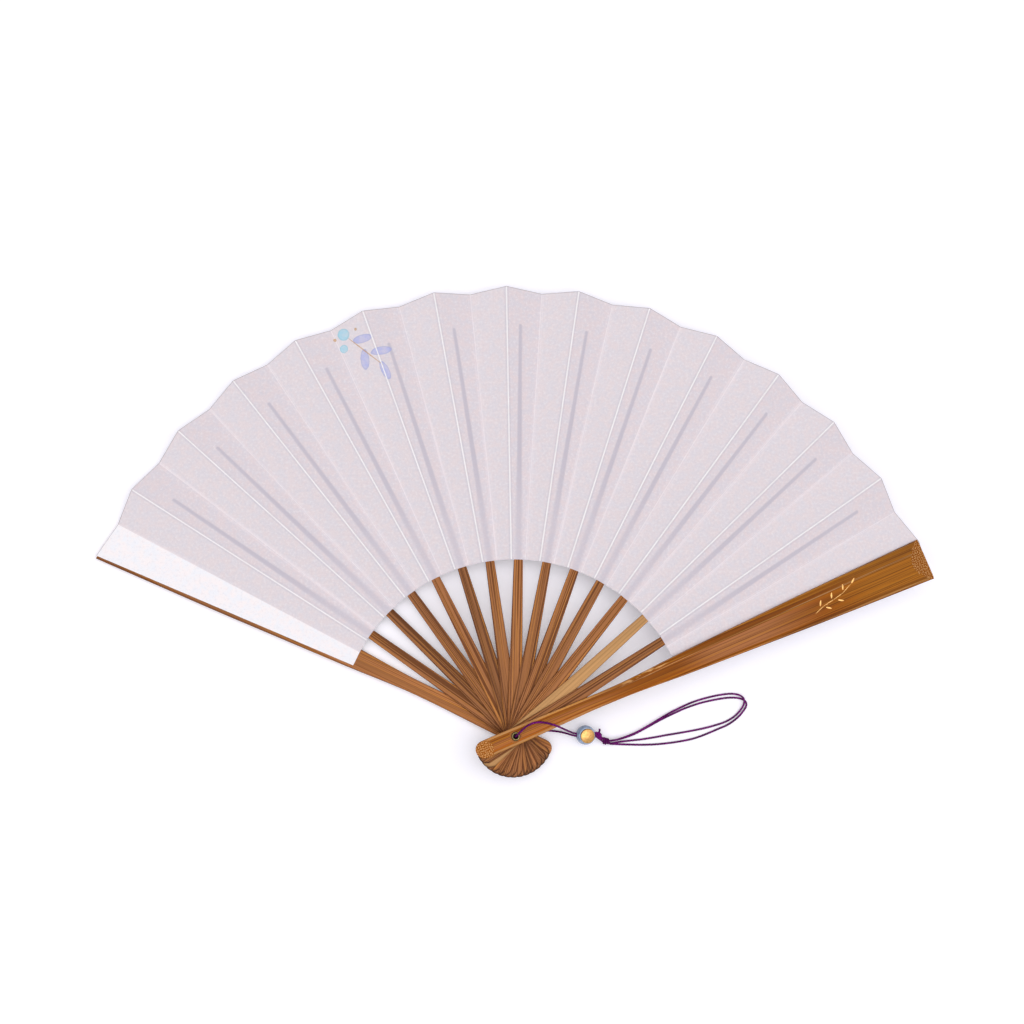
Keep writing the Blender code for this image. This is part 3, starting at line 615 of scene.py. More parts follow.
def smooth_path(route, spacing):
    """Even points in metres along a smooth curve through a route in millimetres."""
    knots = [RIVET + Vector(point) * MM for point in route]
    ends = [2 * knots[0] - knots[1], *knots, 2 * knots[-1] - knots[-2]]
    fine = []
    steps = 16
    for before, start, end, after in zip(ends, ends[1:], ends[2:], ends[3:]):
        for step in range(steps):
            t = step / steps
            fine.append((
                2 * start + (end - before) * t
                + (2 * before - 5 * start + 4 * end - after) * t * t
                + (3 * start - before - 3 * end + after) * t * t * t
            ) / 2)
    fine.append(knots[-1])
    reached = [0.0]
    for here, there in zip(fine, fine[1:]):
        reached.append(reached[-1] + (there - here).length)
    count = round(reached[-1] / spacing)
    even = []
    index = 0
    for step in range(count + 1):
        target = reached[-1] * step / count
        while index < len(fine) - 2 and reached[index + 1] < target:
            index += 1
        share = (target - reached[index]) / (reached[index + 1] - reached[index])
        even.append(fine[index].lerp(fine[index + 1], share))
    return even, reached[-1]


def tube_frames(points):
    """Directions across a path that turn with it and never about it."""
    tangents = []
    for before, after in zip([points[0], *points], [*points[1:], points[-1]]):
        tangents.append((after - before).normalized())
    side = tangents[0].orthogonal().normalized()
    frames = []
    for tangent in tangents:
        side = (side - side.dot(tangent) * tangent).normalized()
        frames.append((side, tangent.cross(side)))
    return frames


def strand(name, points, radius, twist):
    """A twisted cord along a path, as one closed tube with lobes for its strands."""
    frames = tube_frames(points)
    spacing = (points[1] - points[0]).length
    columns = len(points) - 1

    def shape(column, row, side):
        across, up = frames[column]
        angle = math.tau * row / CORD_SIDES
        lay = math.tau * column * spacing / twist
        lobe = math.cos(CORD_STRANDS * (angle - lay))
        reach = radius * (1 - CORD_GROOVE_SHARE + CORD_GROOVE_SHARE * lobe)
        return points[column] + (across * math.cos(angle) + up * math.sin(angle)) * reach, {}

    data = shaped(name, lattice(columns, CORD_SIDES, False), columns, CORD_SIDES, shape)
    work = bmesh.new()
    work.from_mesh(data)
    bmesh.ops.remove_doubles(work, verts=work.verts, dist=MM * MM)
    open_edges = [edge for edge in work.edges if edge.is_boundary]
    if open_edges:
        bmesh.ops.holes_fill(work, edges=open_edges, sides=0)
    bmesh.ops.recalc_face_normals(work, faces=work.faces)
    work.to_mesh(data)
    work.free()
    return data


# Materials


def wire(tree, made, inputs):
    """Sets a shader node's inputs; an input may be another node's socket."""
    for key, value in inputs.items():
        socket = made.inputs[key]
        if isinstance(value, bpy.types.NodeSocket):
            tree.links.new(value, socket)
        elif socket.type == "RGBA":
            socket.default_value = (*value, 1)
        else:
            socket.default_value = value


def add_node(tree, kind, settings=None, inputs=None):
    """Adds a shader node with its options and inputs."""
    made = tree.nodes.new(kind)
    for key, value in (settings or {}).items():
        setattr(made, key, value)
    wire(tree, made, inputs or {})
    return made


def blank_material(name):
    """A new material with its shader."""
    material = bpy.data.materials.new(name)
    material.use_nodes = True
    return material, material.node_tree, material.node_tree.nodes["Principled BSDF"]


def attribute(tree, name, output="Fac"):
    """A socket with a value that the mesh stores."""
    return add_node(tree, "ShaderNodeAttribute", {"attribute_name": name}).outputs[output]


def object_place(tree):
    """Where a point lies on the fan at rest."""
    return add_node(tree, "ShaderNodeTexCoord").outputs["Object"]


def calc(tree, operation, first, second=0.0):
    """A sum of two values, or of one."""
    return add_node(tree, "ShaderNodeMath", {"operation": operation}, {0: first, 1: second}).outputs[0]


def product(tree, first, *others):
    """Values multiplied together."""
    for other in others:
        first = calc(tree, "MULTIPLY", first, other)
    return first


def vector_calc(tree, operation, first, second=(0, 0, 0)):
    """The outputs of a sum of two vectors, or of one."""
    return add_node(tree, "ShaderNodeVectorMath", {"operation": operation}, {0: first, 1: second}).outputs


def split(tree, vector):
    """The three parts of a vector."""
    return add_node(tree, "ShaderNodeSeparateXYZ", inputs={0: vector}).outputs


def span(tree, value, low, high, first=0.0, last=1.0):
    """A value carried smoothly from one span to another."""
    return add_node(
        tree, "ShaderNodeMapRange", {"interpolation_type": "SMOOTHSTEP"},
        {"Value": value, "From Min": low, "From Max": high, "To Min": first, "To Max": last},
    ).outputs["Result"]


def within(tree, value, starts, ends):
    """1 where a value lies past its soft start and before its soft end, of which one may be None."""
    share = span(tree, value, *starts) if starts else 1.0
    return product(tree, share, span(tree, value, *ends, 1.0, 0.0)) if ends else share


def blend_colour(tree, share, first, second):
    """Two colours mixed by a share."""
    return add_node(
        tree, "ShaderNodeMix", {"data_type": "RGBA", "clamp_factor": True}, {0: share, 6: first, 7: second},
    ).outputs[2]


def tinted(colour, share):
    """A colour made lighter or darker."""
    return [share * part for part in colour]


def noise(tree, vector, waves, detail=2.0, roughness=0.5):
    """Noise with so many waves in a metre, given once or for each of the three directions."""
    waves = waves if isinstance(waves, tuple) else (waves, waves, waves)
    return add_node(
        tree, "ShaderNodeTexNoise", {"noise_dimensions": "3D"},
        {
            "Vector": vector_calc(tree, "MULTIPLY", vector, waves)[0], "Scale": 1.0,
            "Detail": detail, "Roughness": roughness,
        },
    ).outputs["Fac"]


def bump(tree, shader, height, distance, strength=1.0):
    """Raises a shader's surface by a height."""
    made = add_node(
        tree, "ShaderNodeBump", inputs={"Height": height, "Distance": distance, "Strength": strength},
    )
    wire(tree, shader, {"Normal": made.outputs["Normal"]})


def finish_bamboo(tree, shader, body, streaks, colours, gloss, cut=0.0):
    """Gives bamboo each stick's own tone, its scorched end and its sheen, duller where it is cut."""
    tone = span(tree, attribute(tree, "tone"), -1.0, 1.0, 0.78, 1.24)
    toned = add_node(tree, "ShaderNodeHueSaturation", inputs={"Value": tone, "Color": body})
    char = product(tree, attribute(tree, "char"), 0.9)
    sheen = span(tree, streaks, 0.3, 0.7, gloss - 0.05, gloss + 0.08)
    wire(tree, shader, {
        "Base Color": blend_colour(tree, char, toned.outputs["Color"], tinted(colours.grain, 0.2)),
        "Roughness": calc(tree, "ADD", sheen, cut),
    })


def bamboo_material(name, colour, colours, gloss, lined):
    """Bamboo with grain along the stick, darker edges and scorched handle ends."""
    material, tree, shader = blank_material(name)
    grain = attribute(tree, "grain", "Vector")
    dark = colours.grain
    pale = [max(own, light) for own, light in zip(colour, colours.golden_bamboo)]
    bands = noise(tree, grain, (7, 420, 1))
    streaks = noise(tree, grain, (16, 1500, 1))
    lines = noise(tree, grain, (9, 2100, 1), 1.0)
    fibres = noise(tree, grain, (230, 5200, 1))
    edge = calc(tree, "ABSOLUTE", attribute(tree, "share"))
    body = blend_colour(tree, span(tree, bands, 0.36, 0.64), tinted(colour, 0.90), tinted(colour, 1.14))
    body = blend_colour(tree, span(tree, streaks, 0.52, 0.64, 0.0, 0.70), body, pale)
    body = blend_colour(tree, span(tree, lines, 0.51, 0.57, 0.0, lined), body, dark)
    body = blend_colour(tree, span(tree, fibres, 0.56, 0.74, 0.0, 0.4 * lined), body, dark)
    body = blend_colour(tree, span(tree, edge, 0.84, 0.99, 0.0, 0.62), body, dark)
    finish_bamboo(tree, shader, body, streaks, colours, gloss)
    shader.inputs["Specular IOR Level"].default_value = 0.12
    bump(tree, shader, calc(tree, "SUBTRACT", streaks, product(tree, lines, 0.8)), BAMBOO_RELIEF, 0.8)
    return material


def skin_material(name, colours, stipple_turn, gloss):
    """Polished bamboo skin of a guard: banded, with painted highlights, shade and sheen along its face,
    shaved pale at the neck and stippled at both ends.
    """
    material, tree, shader = blank_material(name)
    grain = attribute(tree, "grain", "Vector")
    across = attribute(tree, "share")
    skin, dark, pale = colours.guard, colours.grain, colours.pale_bamboo_and_highlight
    drift = product(tree, calc(tree, "SUBTRACT", noise(tree, grain, (22, 60, 1)), 0.5), 0.12)
    share = calc(tree, "ADD", across, drift)
    bands = span(tree, noise(tree, grain, (6, 300, 1)), 0.36, 0.64)
    streaks = noise(tree, grain, (9, 1150, 1))
    lines = noise(tree, grain, (12, 2500, 1))
    edge = span(tree, calc(tree, "ABSOLUTE", across), 0.86, 0.98, 0.0, 0.75)
    raw = blend_colour(tree, bands, tinted(colours.bamboo, 0.85), tinted(colours.bamboo, 1.20))
    raw = blend_colour(tree, edge, raw, dark)
    body = blend_colour(tree, bands, tinted(skin, 0.80), tinted(skin, 1.18))
    reach = split(tree, grain)[0]
    zones = {zone: within(tree, reach, *ends) for zone, ends in GUARD_ZONES.items()}
    # Lays the bands, among them painted highlights, painted shade and a painted sheen
    for low, high, cover, key, zone in GUARD_BAND_SHARES:
        starts, ends = [(side - BAND_BLUR_SHARE, side + BAND_BLUR_SHARE) for side in (low, high)]
        band = product(tree, within(tree, share, starts, ends), zones[zone], cover)
        body = blend_colour(tree, band, body, getattr(colours, key))
    body = blend_colour(tree, attribute(tree, "skin"), raw, body)
    gilt = product(tree, span(tree, streaks, 0.52, 0.66), span(tree, reach, *GILT_FADE, 0.55, 0.45))
    body = blend_colour(tree, gilt, body, colours.golden_bamboo)
    body = blend_colour(tree, span(tree, lines, 0.50, 0.60, 0.0, 0.62), body, dark)
    rows = add_node(
        tree, "ShaderNodeMapping", inputs={"Vector": grain, "Rotation": (0, 0, stipple_turn)},
    ).outputs[0]
    cells = add_node(
        tree, "ShaderNodeTexVoronoi", {"voronoi_dimensions": "2D"},
        {"Vector": rows, "Scale": 1450.0, "Randomness": 0.5},
    ).outputs["Distance"]
    cut = span(tree, attribute(tree, "worked"), 0.35, 0.65)
    marks = span(tree, cells, 0.18, 0.40)
    fresh = blend_colour(tree, marks, tinted(pale, 1.4), tinted(skin, 0.95))
    body = blend_colour(tree, product(tree, cut, 0.92), body, fresh)
    chips = span(tree, noise(tree, grain, (210, 1000, 1)), 0.49, 0.60)
    shaved = product(tree, attribute(tree, "shaved"), chips)
    body = blend_colour(tree, product(tree, shaved, 0.85), body, tinted(pale, 1.25))
    finish_bamboo(tree, shader, body, streaks, colours, gloss, product(tree, cut, 0.2))
    shader.inputs["Specular IOR Level"].default_value = 0.07
    height = calc(tree, "ADD", streaks, product(tree, cut, marks, -3.0))
    bump(tree, shader, calc(tree, "SUBTRACT", height, product(tree, shaved, 1.5)), BAMBOO_RELIEF, 0.8)
    return material


def spot_share(tree, place, spots):
    """Cover by a group of oval spots with soft watery edges, and the darker brim of each."""
    ragged = noise(tree, place, 700)
    cover = brim = 0.0
    for across, up, long, wide, turn in spots:
        laid = add_node(
            tree, "ShaderNodeMapping", {"vector_type": "TEXTURE"},
            {
                "Vector": place, "Location": (across * MM, up * MM, 0),
                "Rotation": (0, 0, math.radians(turn)), "Scale": (long * MM, wide * MM, 1),
            },
        )
        reach = vector_calc(tree, "LENGTH", laid.outputs[0])["Value"]
        uneven = calc(tree, "ADD", reach, product(tree, ragged, 0.22))
        here = span(tree, uneven, 1.02, 1.16, 1.0, 0.0)
        cover = calc(tree, "MAXIMUM", cover, here)
        brim = calc(tree, "MAXIMUM", brim, product(tree, here, span(tree, uneven, 0.84, 1.02)))
    return cover, brim


def printed_sprig(tree, body, place, colours):
    """Paints the sprig of petals and berries on the paper's front."""
    ink = noise(tree, place, 420)
    facing = add_node(tree, "ShaderNodeNewGeometry").outputs["True Normal"]
    front = span(tree, split(tree, facing)[2], -0.1, 0.1)
    wash = product(tree, span(tree, ink, 0.3, 0.7, 0.50, 0.82), front)
    for spots, paint in (
        (PETAL_SPOTS, colours.petal), (BERRY_SPOTS, colours.berry), (GOLD_SPOTS, colours.gold),
    ):
        cover, brim = spot_share(tree, place, spots)
        body = blend_colour(tree, product(tree, cover, wash), body, paint)
        body = blend_colour(tree, product(tree, brim, front, 0.35), body, tinted(paint, 0.72))
    return body


def paper_material(name, colours, printed):
    """Handmade paper with white worn folds, fold panels painted lighter to make up for their shade,
    tails that show through and, if printed, a small sprig.
    """
    material, tree, shader = blank_material(name)
    place = attribute(tree, "spread_place", "Vector")
    mountain, valley, rim = split(tree, attribute(tree, "fold_gaps", "Vector"))
    base = colours.paper if printed else colours.white_paper
    white, shade = colours.white_paper, colours.rib_shade
    mottle = noise(tree, place, 240, 3.0, 0.6)
    flecks = noise(tree, place, 900, 2.0, 0.6)
    fibres = noise(tree, place, 2300, 2.0, 0.7)
    warm = [part * share for part, share in zip(base, WARM_PAPER_SHARES)]
    cool = [part * share for part, share in zip(base, COOL_PAPER_SHARES)]
    body = blend_colour(tree, span(tree, mottle, 0.34, 0.66), cool, warm)
    # Paints the fold panels lighter, to make up for the shade of their steeper slope
    body = blend_colour(tree, product(tree, attribute(tree, "worn"), 0.14), body, white)
    body = blend_colour(tree, span(tree, flecks, 0.50, 0.72, 0.0, 0.26), body, white)
    body = blend_colour(tree, span(tree, flecks, 0.50, 0.30, 0.0, 0.13), body, shade)
    body = blend_colour(tree, span(tree, fibres, 0.52, 0.28, 0.0, 0.12), body, shade)
    if printed:
        body = blend_colour(tree, tail_shadow(tree), body, shade)
        run = attribute(tree, "fold_run", "Vector")
        drawn = span(tree, noise(tree, run, (14, 2300, 1)), 0.48, 0.62)
        streak = product(tree, drawn, span(tree, valley, *VALLEY_STREAKS, 1.0, 0.0), 0.30)
        body = blend_colour(tree, streak, body, colours.valley_streak)
        body = blend_colour(tree, span(tree, valley, *VALLEY_LINE, 0.42, 0.0), body, colours.valley_line)
        beside = within(tree, mountain, CREST_SHADE_START, CREST_SHADE_END)
        body = blend_colour(tree, product(tree, beside, 0.30), body, shade)
        body = printed_sprig(tree, body, place, colours)
        # How worn the white crest line is along each mountain fold
        worn = span(tree, noise(tree, run, (120, 1, 1)), 0.25, 0.5, 0.75, 1.0)
        crest = product(tree, span(tree, mountain, *CREST_LINE, 1.0, 0.0), worn)
        body = blend_colour(tree, crest, body, colours.crest)
    body = blend_colour(tree, span(tree, rim, *RIM_LINE, 0.55, 0.0), body, colours.cut_rim)
    wire(tree, shader, {"Base Color": body, "Roughness": 0.9, "Specular IOR Level": 0.15})
    bump(tree, shader, calc(tree, "ADD", fibres, flecks), PAPER_RELIEF, 0.5)
    return material


def tail_shadow(tree):
    """How much of a rib's tail shows through the paper."""
    across, beyond, half = split(tree, attribute(tree, "tail_place", "Vector"))
    past = calc(tree, "MAXIMUM", beyond, 0.0)
    squares = calc(tree, "ADD", product(tree, across, across), product(tree, past, past))
    gap = calc(tree, "SUBTRACT", calc(tree, "SQRT", squares), half)
    inner = span(tree, beyond, *TAIL_FADE, 1.0, 0.0)
    spread = calc(tree, "DIVIDE", gap, span(tree, inner, 0.0, 1.0, 1.0, 2.2))
    seen = span(tree, spread, *TAIL_BLUR, 1.0, 0.0)
    return product(tree, seen, span(tree, inner, 0.0, 1.0, 0.74, 0.46))


def finish_metal(tree, shader, body, wear, roughness):
    """Gives metal its colour and a sheen that wears."""
    sheen = span(tree, wear, 0.3, 0.7, roughness + 0.1, roughness)
    wire(tree, shader, {"Base Color": body, "Roughness": sheen, "Metallic": 1.0})


def metal_material(name, colour, shade, roughness, relief):
    """Metal with fine wear and shallow dents."""
    material, tree, shader = blank_material(name)
    place = object_place(tree)
    wear = noise(tree, place, 1400, 3.0, 0.6)
    body = blend_colour(tree, span(tree, wear, 0.35, 0.7), tinted(colour, shade), colour)
    finish_metal(tree, shader, body, wear, roughness)
    bump(tree, shader, noise(tree, place, 900, 1.0), relief)
    return material


def eyelet_material(name, colour, sizes, roughness):
    """Darkened brass, nearly black on the outer part of the flanges."""
    material, tree, shader = blank_material(name)
    place = object_place(tree)
    off_axis = vector_calc(tree, "SUBTRACT", place, RIVET)[0]
    reach = vector_calc(tree, "LENGTH", vector_calc(tree, "MULTIPLY", off_axis, (1, 1, 0))[0])["Value"]
    wear = noise(tree, place, 1400, 3.0, 0.6)
    body = blend_colour(tree, span(tree, wear, 0.35, 0.7), tinted(colour, 0.5), colour)
    dark = span(tree, reach, sizes.dark_start, sizes.dark_end, 0.0, 0.9)
    finish_metal(tree, shader, blend_colour(tree, dark, body, tinted(colour, 0.08)), wear, roughness)
    bump(tree, shader, wear, BRASS_RELIEF)
    return material


def cord_material(name, colours):
    """Twisted purple cord with lighter fibres."""
    material, tree, shader = blank_material(name)
    place = object_place(tree)
    fibres = noise(tree, place, 2600, 3.0, 0.7)
    patches = noise(tree, place, 240)
    body = blend_colour(tree, span(tree, fibres, 0.40, 0.70), colours.cord, colours.cord_light)
    body = blend_colour(tree, span(tree, patches, 0.42, 0.60, 0.0, 0.70), body, colours.cord)
    wire(tree, shader, {"Base Color": body, "Roughness": 0.6, "Specular IOR Level": 0.12})
    bump(tree, shader, fibres, CORD_RELIEF)
    return material


def glaze_material(name, glaze):
    """Glaze with cloudy depth and dark specks."""
    material, tree, shader = blank_material(name)
    place = object_place(tree)
    cloud = noise(tree, place, 420, 3.0)
    specks = noise(tree, place, 3200, 1.0)
    body = blend_colour(tree, span(tree, cloud, 0.35, 0.65), glaze, tinted(glaze, 1.35))
    body = blend_colour(tree, span(tree, specks, 0.66, 0.78, 0.0, 0.5), body, tinted(glaze, 0.55))
    wire(tree, shader, {
        "Base Color": body, "Roughness": 0.22, "Coat Weight": 0.5, "Coat Roughness": 0.08,
    })
    bump(tree, shader, cloud, GLAZE_RELIEF)
    return material


# Pieces


def stick_stations(outline, handle_reach, spacing, smoothing):
    """Reaches and widths from the round end of a handle to the outline's last reach."""
    half = outline[0][1] / 2
    start = half - handle_reach
    end = outline[-1][0]
    stations = []
    for angle in arc(0, math.pi / 2, 9)[1:]:
        stations.append((start - half * math.cos(angle), 2 * half * math.sin(angle)))
    count = round((end - start) / spacing)
    for step in range(1, count + 1):
        reach = start + (end - start) * step / count
        blur = min(smoothing, end - reach, max(reach - start, 0))
        shifts = [reach + blur * part for part in (-1, -0.5, 0, 0.5, 1)]
        widths = [along(outline, max(shift, 0)) for shift in shifts]
        stations.append((reach, sum(widths) / len(widths)))
    return stations


def drilled(thing, radius, height):
    """Cuts the eyelet's hole through a stick."""
    work = bmesh.new()
    bmesh.ops.create_cone(
        work, cap_ends=True, segments=40, radius1=radius, radius2=radius, depth=HOLE_TOOL_DEPTH,
        matrix=Matrix.Translation(RIVET + Vector((0, 0, height))),
    )
    tool = bpy.data.objects.new("hole_tool", from_work("hole_tool", work))
    bpy.context.scene.collection.objects.link(tool)
    cut = thing.modifiers.new("hole", "BOOLEAN")
    cut.operation = "DIFFERENCE"
    cut.object = tool
    seen = bpy.context.evaluated_depsgraph_get()
    finished = bpy.data.meshes.new_from_object(
        thing.evaluated_get(seen), preserve_all_data_layers=True, depsgraph=seen,
    )
    thing.modifiers.clear()
    thing.data = finished
    bpy.data.objects.remove(tool, do_unlink=True)


def make_stick(node, stick, height, stations, shape, material):
    """A guard or rib from its cross-sections, with the eyelet's hole through it."""
    columns = len(stations) - 1
    rows = len(EDGE_DROP_SHARES) - 1
    data = shaped(node, lattice(columns, rows, True), columns, rows, shape)
    thing = piece(node + "_bamboo", data, material, body_name(stick), [node], 30)
    drilled(thing, bpy.context.scene.fan_sticks.hole_radius, height)


class FAN_OT_camera(bpy.types.Operator):
    """Set the camera at the photograph's angle"""

    bl_idname = "fan.camera"
    bl_label = "Set Camera"

    def execute(self, context):
        studio = context.scene.fan_studio
        data = bpy.data.cameras.new("camera")
        data.lens = studio.lens
        data.sensor_width = studio.sensor
        data.clip_start = studio.clip_start
        camera = bpy.data.objects.new("camera", data)
        camera.location = studio.camera_place
        camera.rotation_euler = studio.camera_turn
        context.scene.collection.objects.link(camera)
        context.scene.camera = camera
        return {"FINISHED"}


class FAN_OT_cords(bpy.types.Operator):
    """Make the four lengths of the cord, its knot and the bead with its gold face"""

    bl_idname = "fan.cords"
    bl_label = "Make Cord and Bead"

    def execute(self, context):
        sizes = context.scene.fan_cord
        colours = context.scene.fan_colours
        silk = cord_material("cord_silk", colours)
        charms = [
            self.make_bead(sizes, colours),
            self.make_face(sizes, colours),
            self.make_knot(sizes, silk),
        ]
        for name, route in CORD_ROUTES.items():
            points, length = smooth_path(route, CORD_SPACING_SHARE * sizes.diameter)
            data = strand(name, points, sizes.diameter / 2, sizes.twist)
            thing = piece(name + "_strand", data, silk, "back_stick", [name], 80)
        return {"FINISHED"}

    def face_turn(self, sizes):
        """How the gold face is turned."""
        return Matrix.Rotation(sizes.face_heading, 4, "Z") @ Matrix.Rotation(sizes.face_tilt, 4, "Y")

    def bead_centre(self, sizes):
        """Where the bead's centre stands."""
        low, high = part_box("bead")
        middle = (low + high) / 2
        return Matrix.Translation((middle.x, middle.y, low.z + sizes.bead_radius))

    def make_bead(self, sizes, colours):
        """The glazed bead, bored along X with rounded mouths and cut flat for the gold face."""
        radius = sizes.bead_radius
        bore = sizes.bore_radius
        lip = BEAD_LIP_SHARE * radius
        start = math.asin((bore + lip) / radius)
        outline = []
        for angle in arc(start, math.pi - 2 * start, 32):
            outline.append((-radius * math.cos(angle), radius * math.sin(angle), 0))
        mouth = radius * math.cos(start)
        inner = []
        for angle in arc(0, math.pi / 2, 5)[1:]:
            inner.append((mouth - 0.9 * lip * math.sin(angle), bore + lip * (1 - math.sin(angle)), 0))
        outline += inner
        outline += [(-x, y, z) for x, y, z in reversed(inner)]
        work = spun(outline, (1, 0, 0), 64, True)
        turn = self.face_turn(sizes)
        up = (turn @ Vector((0, 0, 1, 0))).xyz
        cut = bmesh.ops.bisect_plane(
            work, geom=work.verts[:] + work.edges[:] + work.faces[:], dist=MM * MM,
            plane_co=up * sizes.face_seat, plane_no=up, clear_outer=True,
        )
        rim = [item for item in cut["geom_cut"] if isinstance(item, bmesh.types.BMEdge)]
        bmesh.ops.contextual_create(work, geom=rim)
        bmesh.ops.bevel(
            work, geom=rim, offset=BEAD_RIM_SHARE * radius, segments=3, profile=0.5, affect="EDGES",
            material=-1,
        )
        bmesh.ops.transform(work, matrix=self.bead_centre(sizes), verts=work.verts)
        return piece(
            "glazed_bead", from_work("glazed_bead", work), glaze_material("bead_glaze", colours.glaze),
            "back_stick", ["bead"], 50,
        )

    def make_face(self, sizes, colours):
        """The gold face: a shallow dome with a rounded rim."""
        radius = sizes.face_radius
        rim = FACE_RIM_SHARE * radius
        dome = FACE_DOME_SHARE * radius
        base = sizes.face_seat + FACE_GAP_SHARE * radius
        outline = [(MM * MM, 0, base), (radius - 0.3 * rim, 0, base)]
        for angle in arc(-math.pi / 2, 0.75 * math.pi, 8):
            outline.append((radius - rim + rim * math.cos(angle), 0, base + rim + rim * math.sin(angle)))
        edge_x, _, edge_z = outline[-1]
        for step in range(1, 13):
            share = step / 12
            inwards = max(edge_x * (1 - share), MM * MM)
            outline.append((inwards, 0, edge_z + dome * math.sin(share * math.pi / 2)))
        work = spun(outline, (0, 0, 1), 64, False)
        bmesh.ops.holes_fill(work, edges=[edge for edge in work.edges if edge.is_boundary], sides=0)
        matrix = self.bead_centre(sizes) @ self.face_turn(sizes)
        bmesh.ops.transform(work, matrix=matrix, verts=work.verts)
        return piece(
            "gold_face", from_work("gold_face", work),
            metal_material("bead_gold", colours.gold, 0.72, 0.34, GOLD_RELIEF),
            "back_stick", ["bead_face"], 50,
        )

    def loop_tails(self):
        """Routes in the knot from its core out to the four ends of the loops."""
        routes = []
        for route in (OUTER_LOOP_ROUTE, INNER_LOOP_ROUTE):
            for tip, after in ((route[0], route[1]), (route[-1], route[-2])):
                tip, core = Vector(tip), Vector(KNOT_CORE)
                back = (tip - Vector(after)).normalized()
                routes.append((core, tip.lerp(core, 0.5), tip - back * LOOP_OVERLAP))
        return routes

    def wrap_route(self, sizes, centre, axis, radius, turns):
        """Route of the cord where it is wrapped round the knot."""
        turn = Vector((0, 0, 1)).rotation_difference(Vector(axis))
        pitch = WRAP_PITCH_SHARE * sizes.diameter / MM
        route = []
        for step in range(round(turns * WRAP_STEPS) + 1):
            angle = math.tau * step / WRAP_STEPS
            height = pitch * (step / WRAP_STEPS - turns / 2)
            around = Vector((radius * math.cos(angle), radius * math.sin(angle), height))
            route.append(Vector(centre) + turn @ around)
        return route

    def make_knot(self, sizes, silk):
        """The knot: strands from the bead, two wraps, four strands out to the loops and a cut end."""
        joined = bmesh.new()
        wraps = [self.wrap_route(sizes, *wrap) for wrap in KNOT_WRAPS]
        for number, route in enumerate([*KNOT_STRANDS, *self.loop_tails(), *wraps]):
            points, _ = smooth_path(route, CORD_SPACING_SHARE * sizes.diameter)
            joined.from_mesh(strand(f"knot_{number}", points, sizes.diameter / 2, sizes.twist))
        data = from_work("tied_knot", joined)
        return piece("tied_knot", data, silk, "back_stick", ["knot"], 80)


class FAN_OT_guards(bpy.types.Operator):
    """Make the two polished bamboo guards"""

    bl_idname = "fan.guards"
    bl_label = "Make Guards"

    def execute(self, context):
        sizes = context.scene.fan_sticks
        colours = context.scene.fan_colours
        material = skin_material("guard_bamboo", colours, sizes.stipple_turn, 0.40)
        stations = stick_stations(GUARD_OUTLINE, sizes.handle_reach, GUARD_SPACING, GUARD_SMOOTHING)
        tip = GUARD_OUTLINE[-1][0]
        for stick, node, outward in ((0, "back_guard", -1), (FRONT, "front_guard", 1)):
            height = BACK_INNER_FACE if stick == 0 else FRONT_INNER_FACE
            matrix = stick_frame(stick, height)

            def shape(column, row, side):
                reach, width = stations[column]
                share, drop = EDGE_DROP_SHARES[row]
                across = share * width / 2
                inner = sizes.guard_relief / tip * max(reach, 0)
                shave = eased((reach - sizes.shave_start) / (sizes.shave_end - sizes.shave_start))
                outer = sizes.guard_handle_thickness
                outer += shave * (sizes.guard_thickness - sizes.guard_handle_thickness)
                edge = min(sizes.guard_edge, 0.45 * (outer - inner), 0.5 * width)
                up = outer - edge * drop if side else inner
                if stick == 0:
                    cut = sizes.tip_trim + sizes.tip_slant * share * VALLEY
                    reach -= cut * eased((reach - tip) / (4 * sizes.tip_slant) + 1)
                crown = 1 - share * share
                at_tip = reach - tip + sizes.stipple_edge + sizes.stipple_crown * crown
                at_handle = sizes.stipple_handle * (0.8 + 0.2 * crown) - sizes.handle_reach - reach
                worked = max(eased(at_tip / sizes.stipple_fade), eased(at_handle / sizes.stipple_fade))
                return matrix @ Vector((reach, across, outward * up)), {
                    "grain": (reach, across, GRAIN_SHIFT * stick),
                    "share": float(share * outward),
                    "tone": float(along(GUARD_TONE_SHARES, max(reach, 0) / tip)),
                    "char": 0.0,
                    "worked": float(worked * side),
                    "skin": float(side),
                    "shaved": float(side * shaved_share(sizes, reach, share * outward)),
                }

            make_stick(node, stick, height, stations, shape, material)
        return {"FINISHED"}


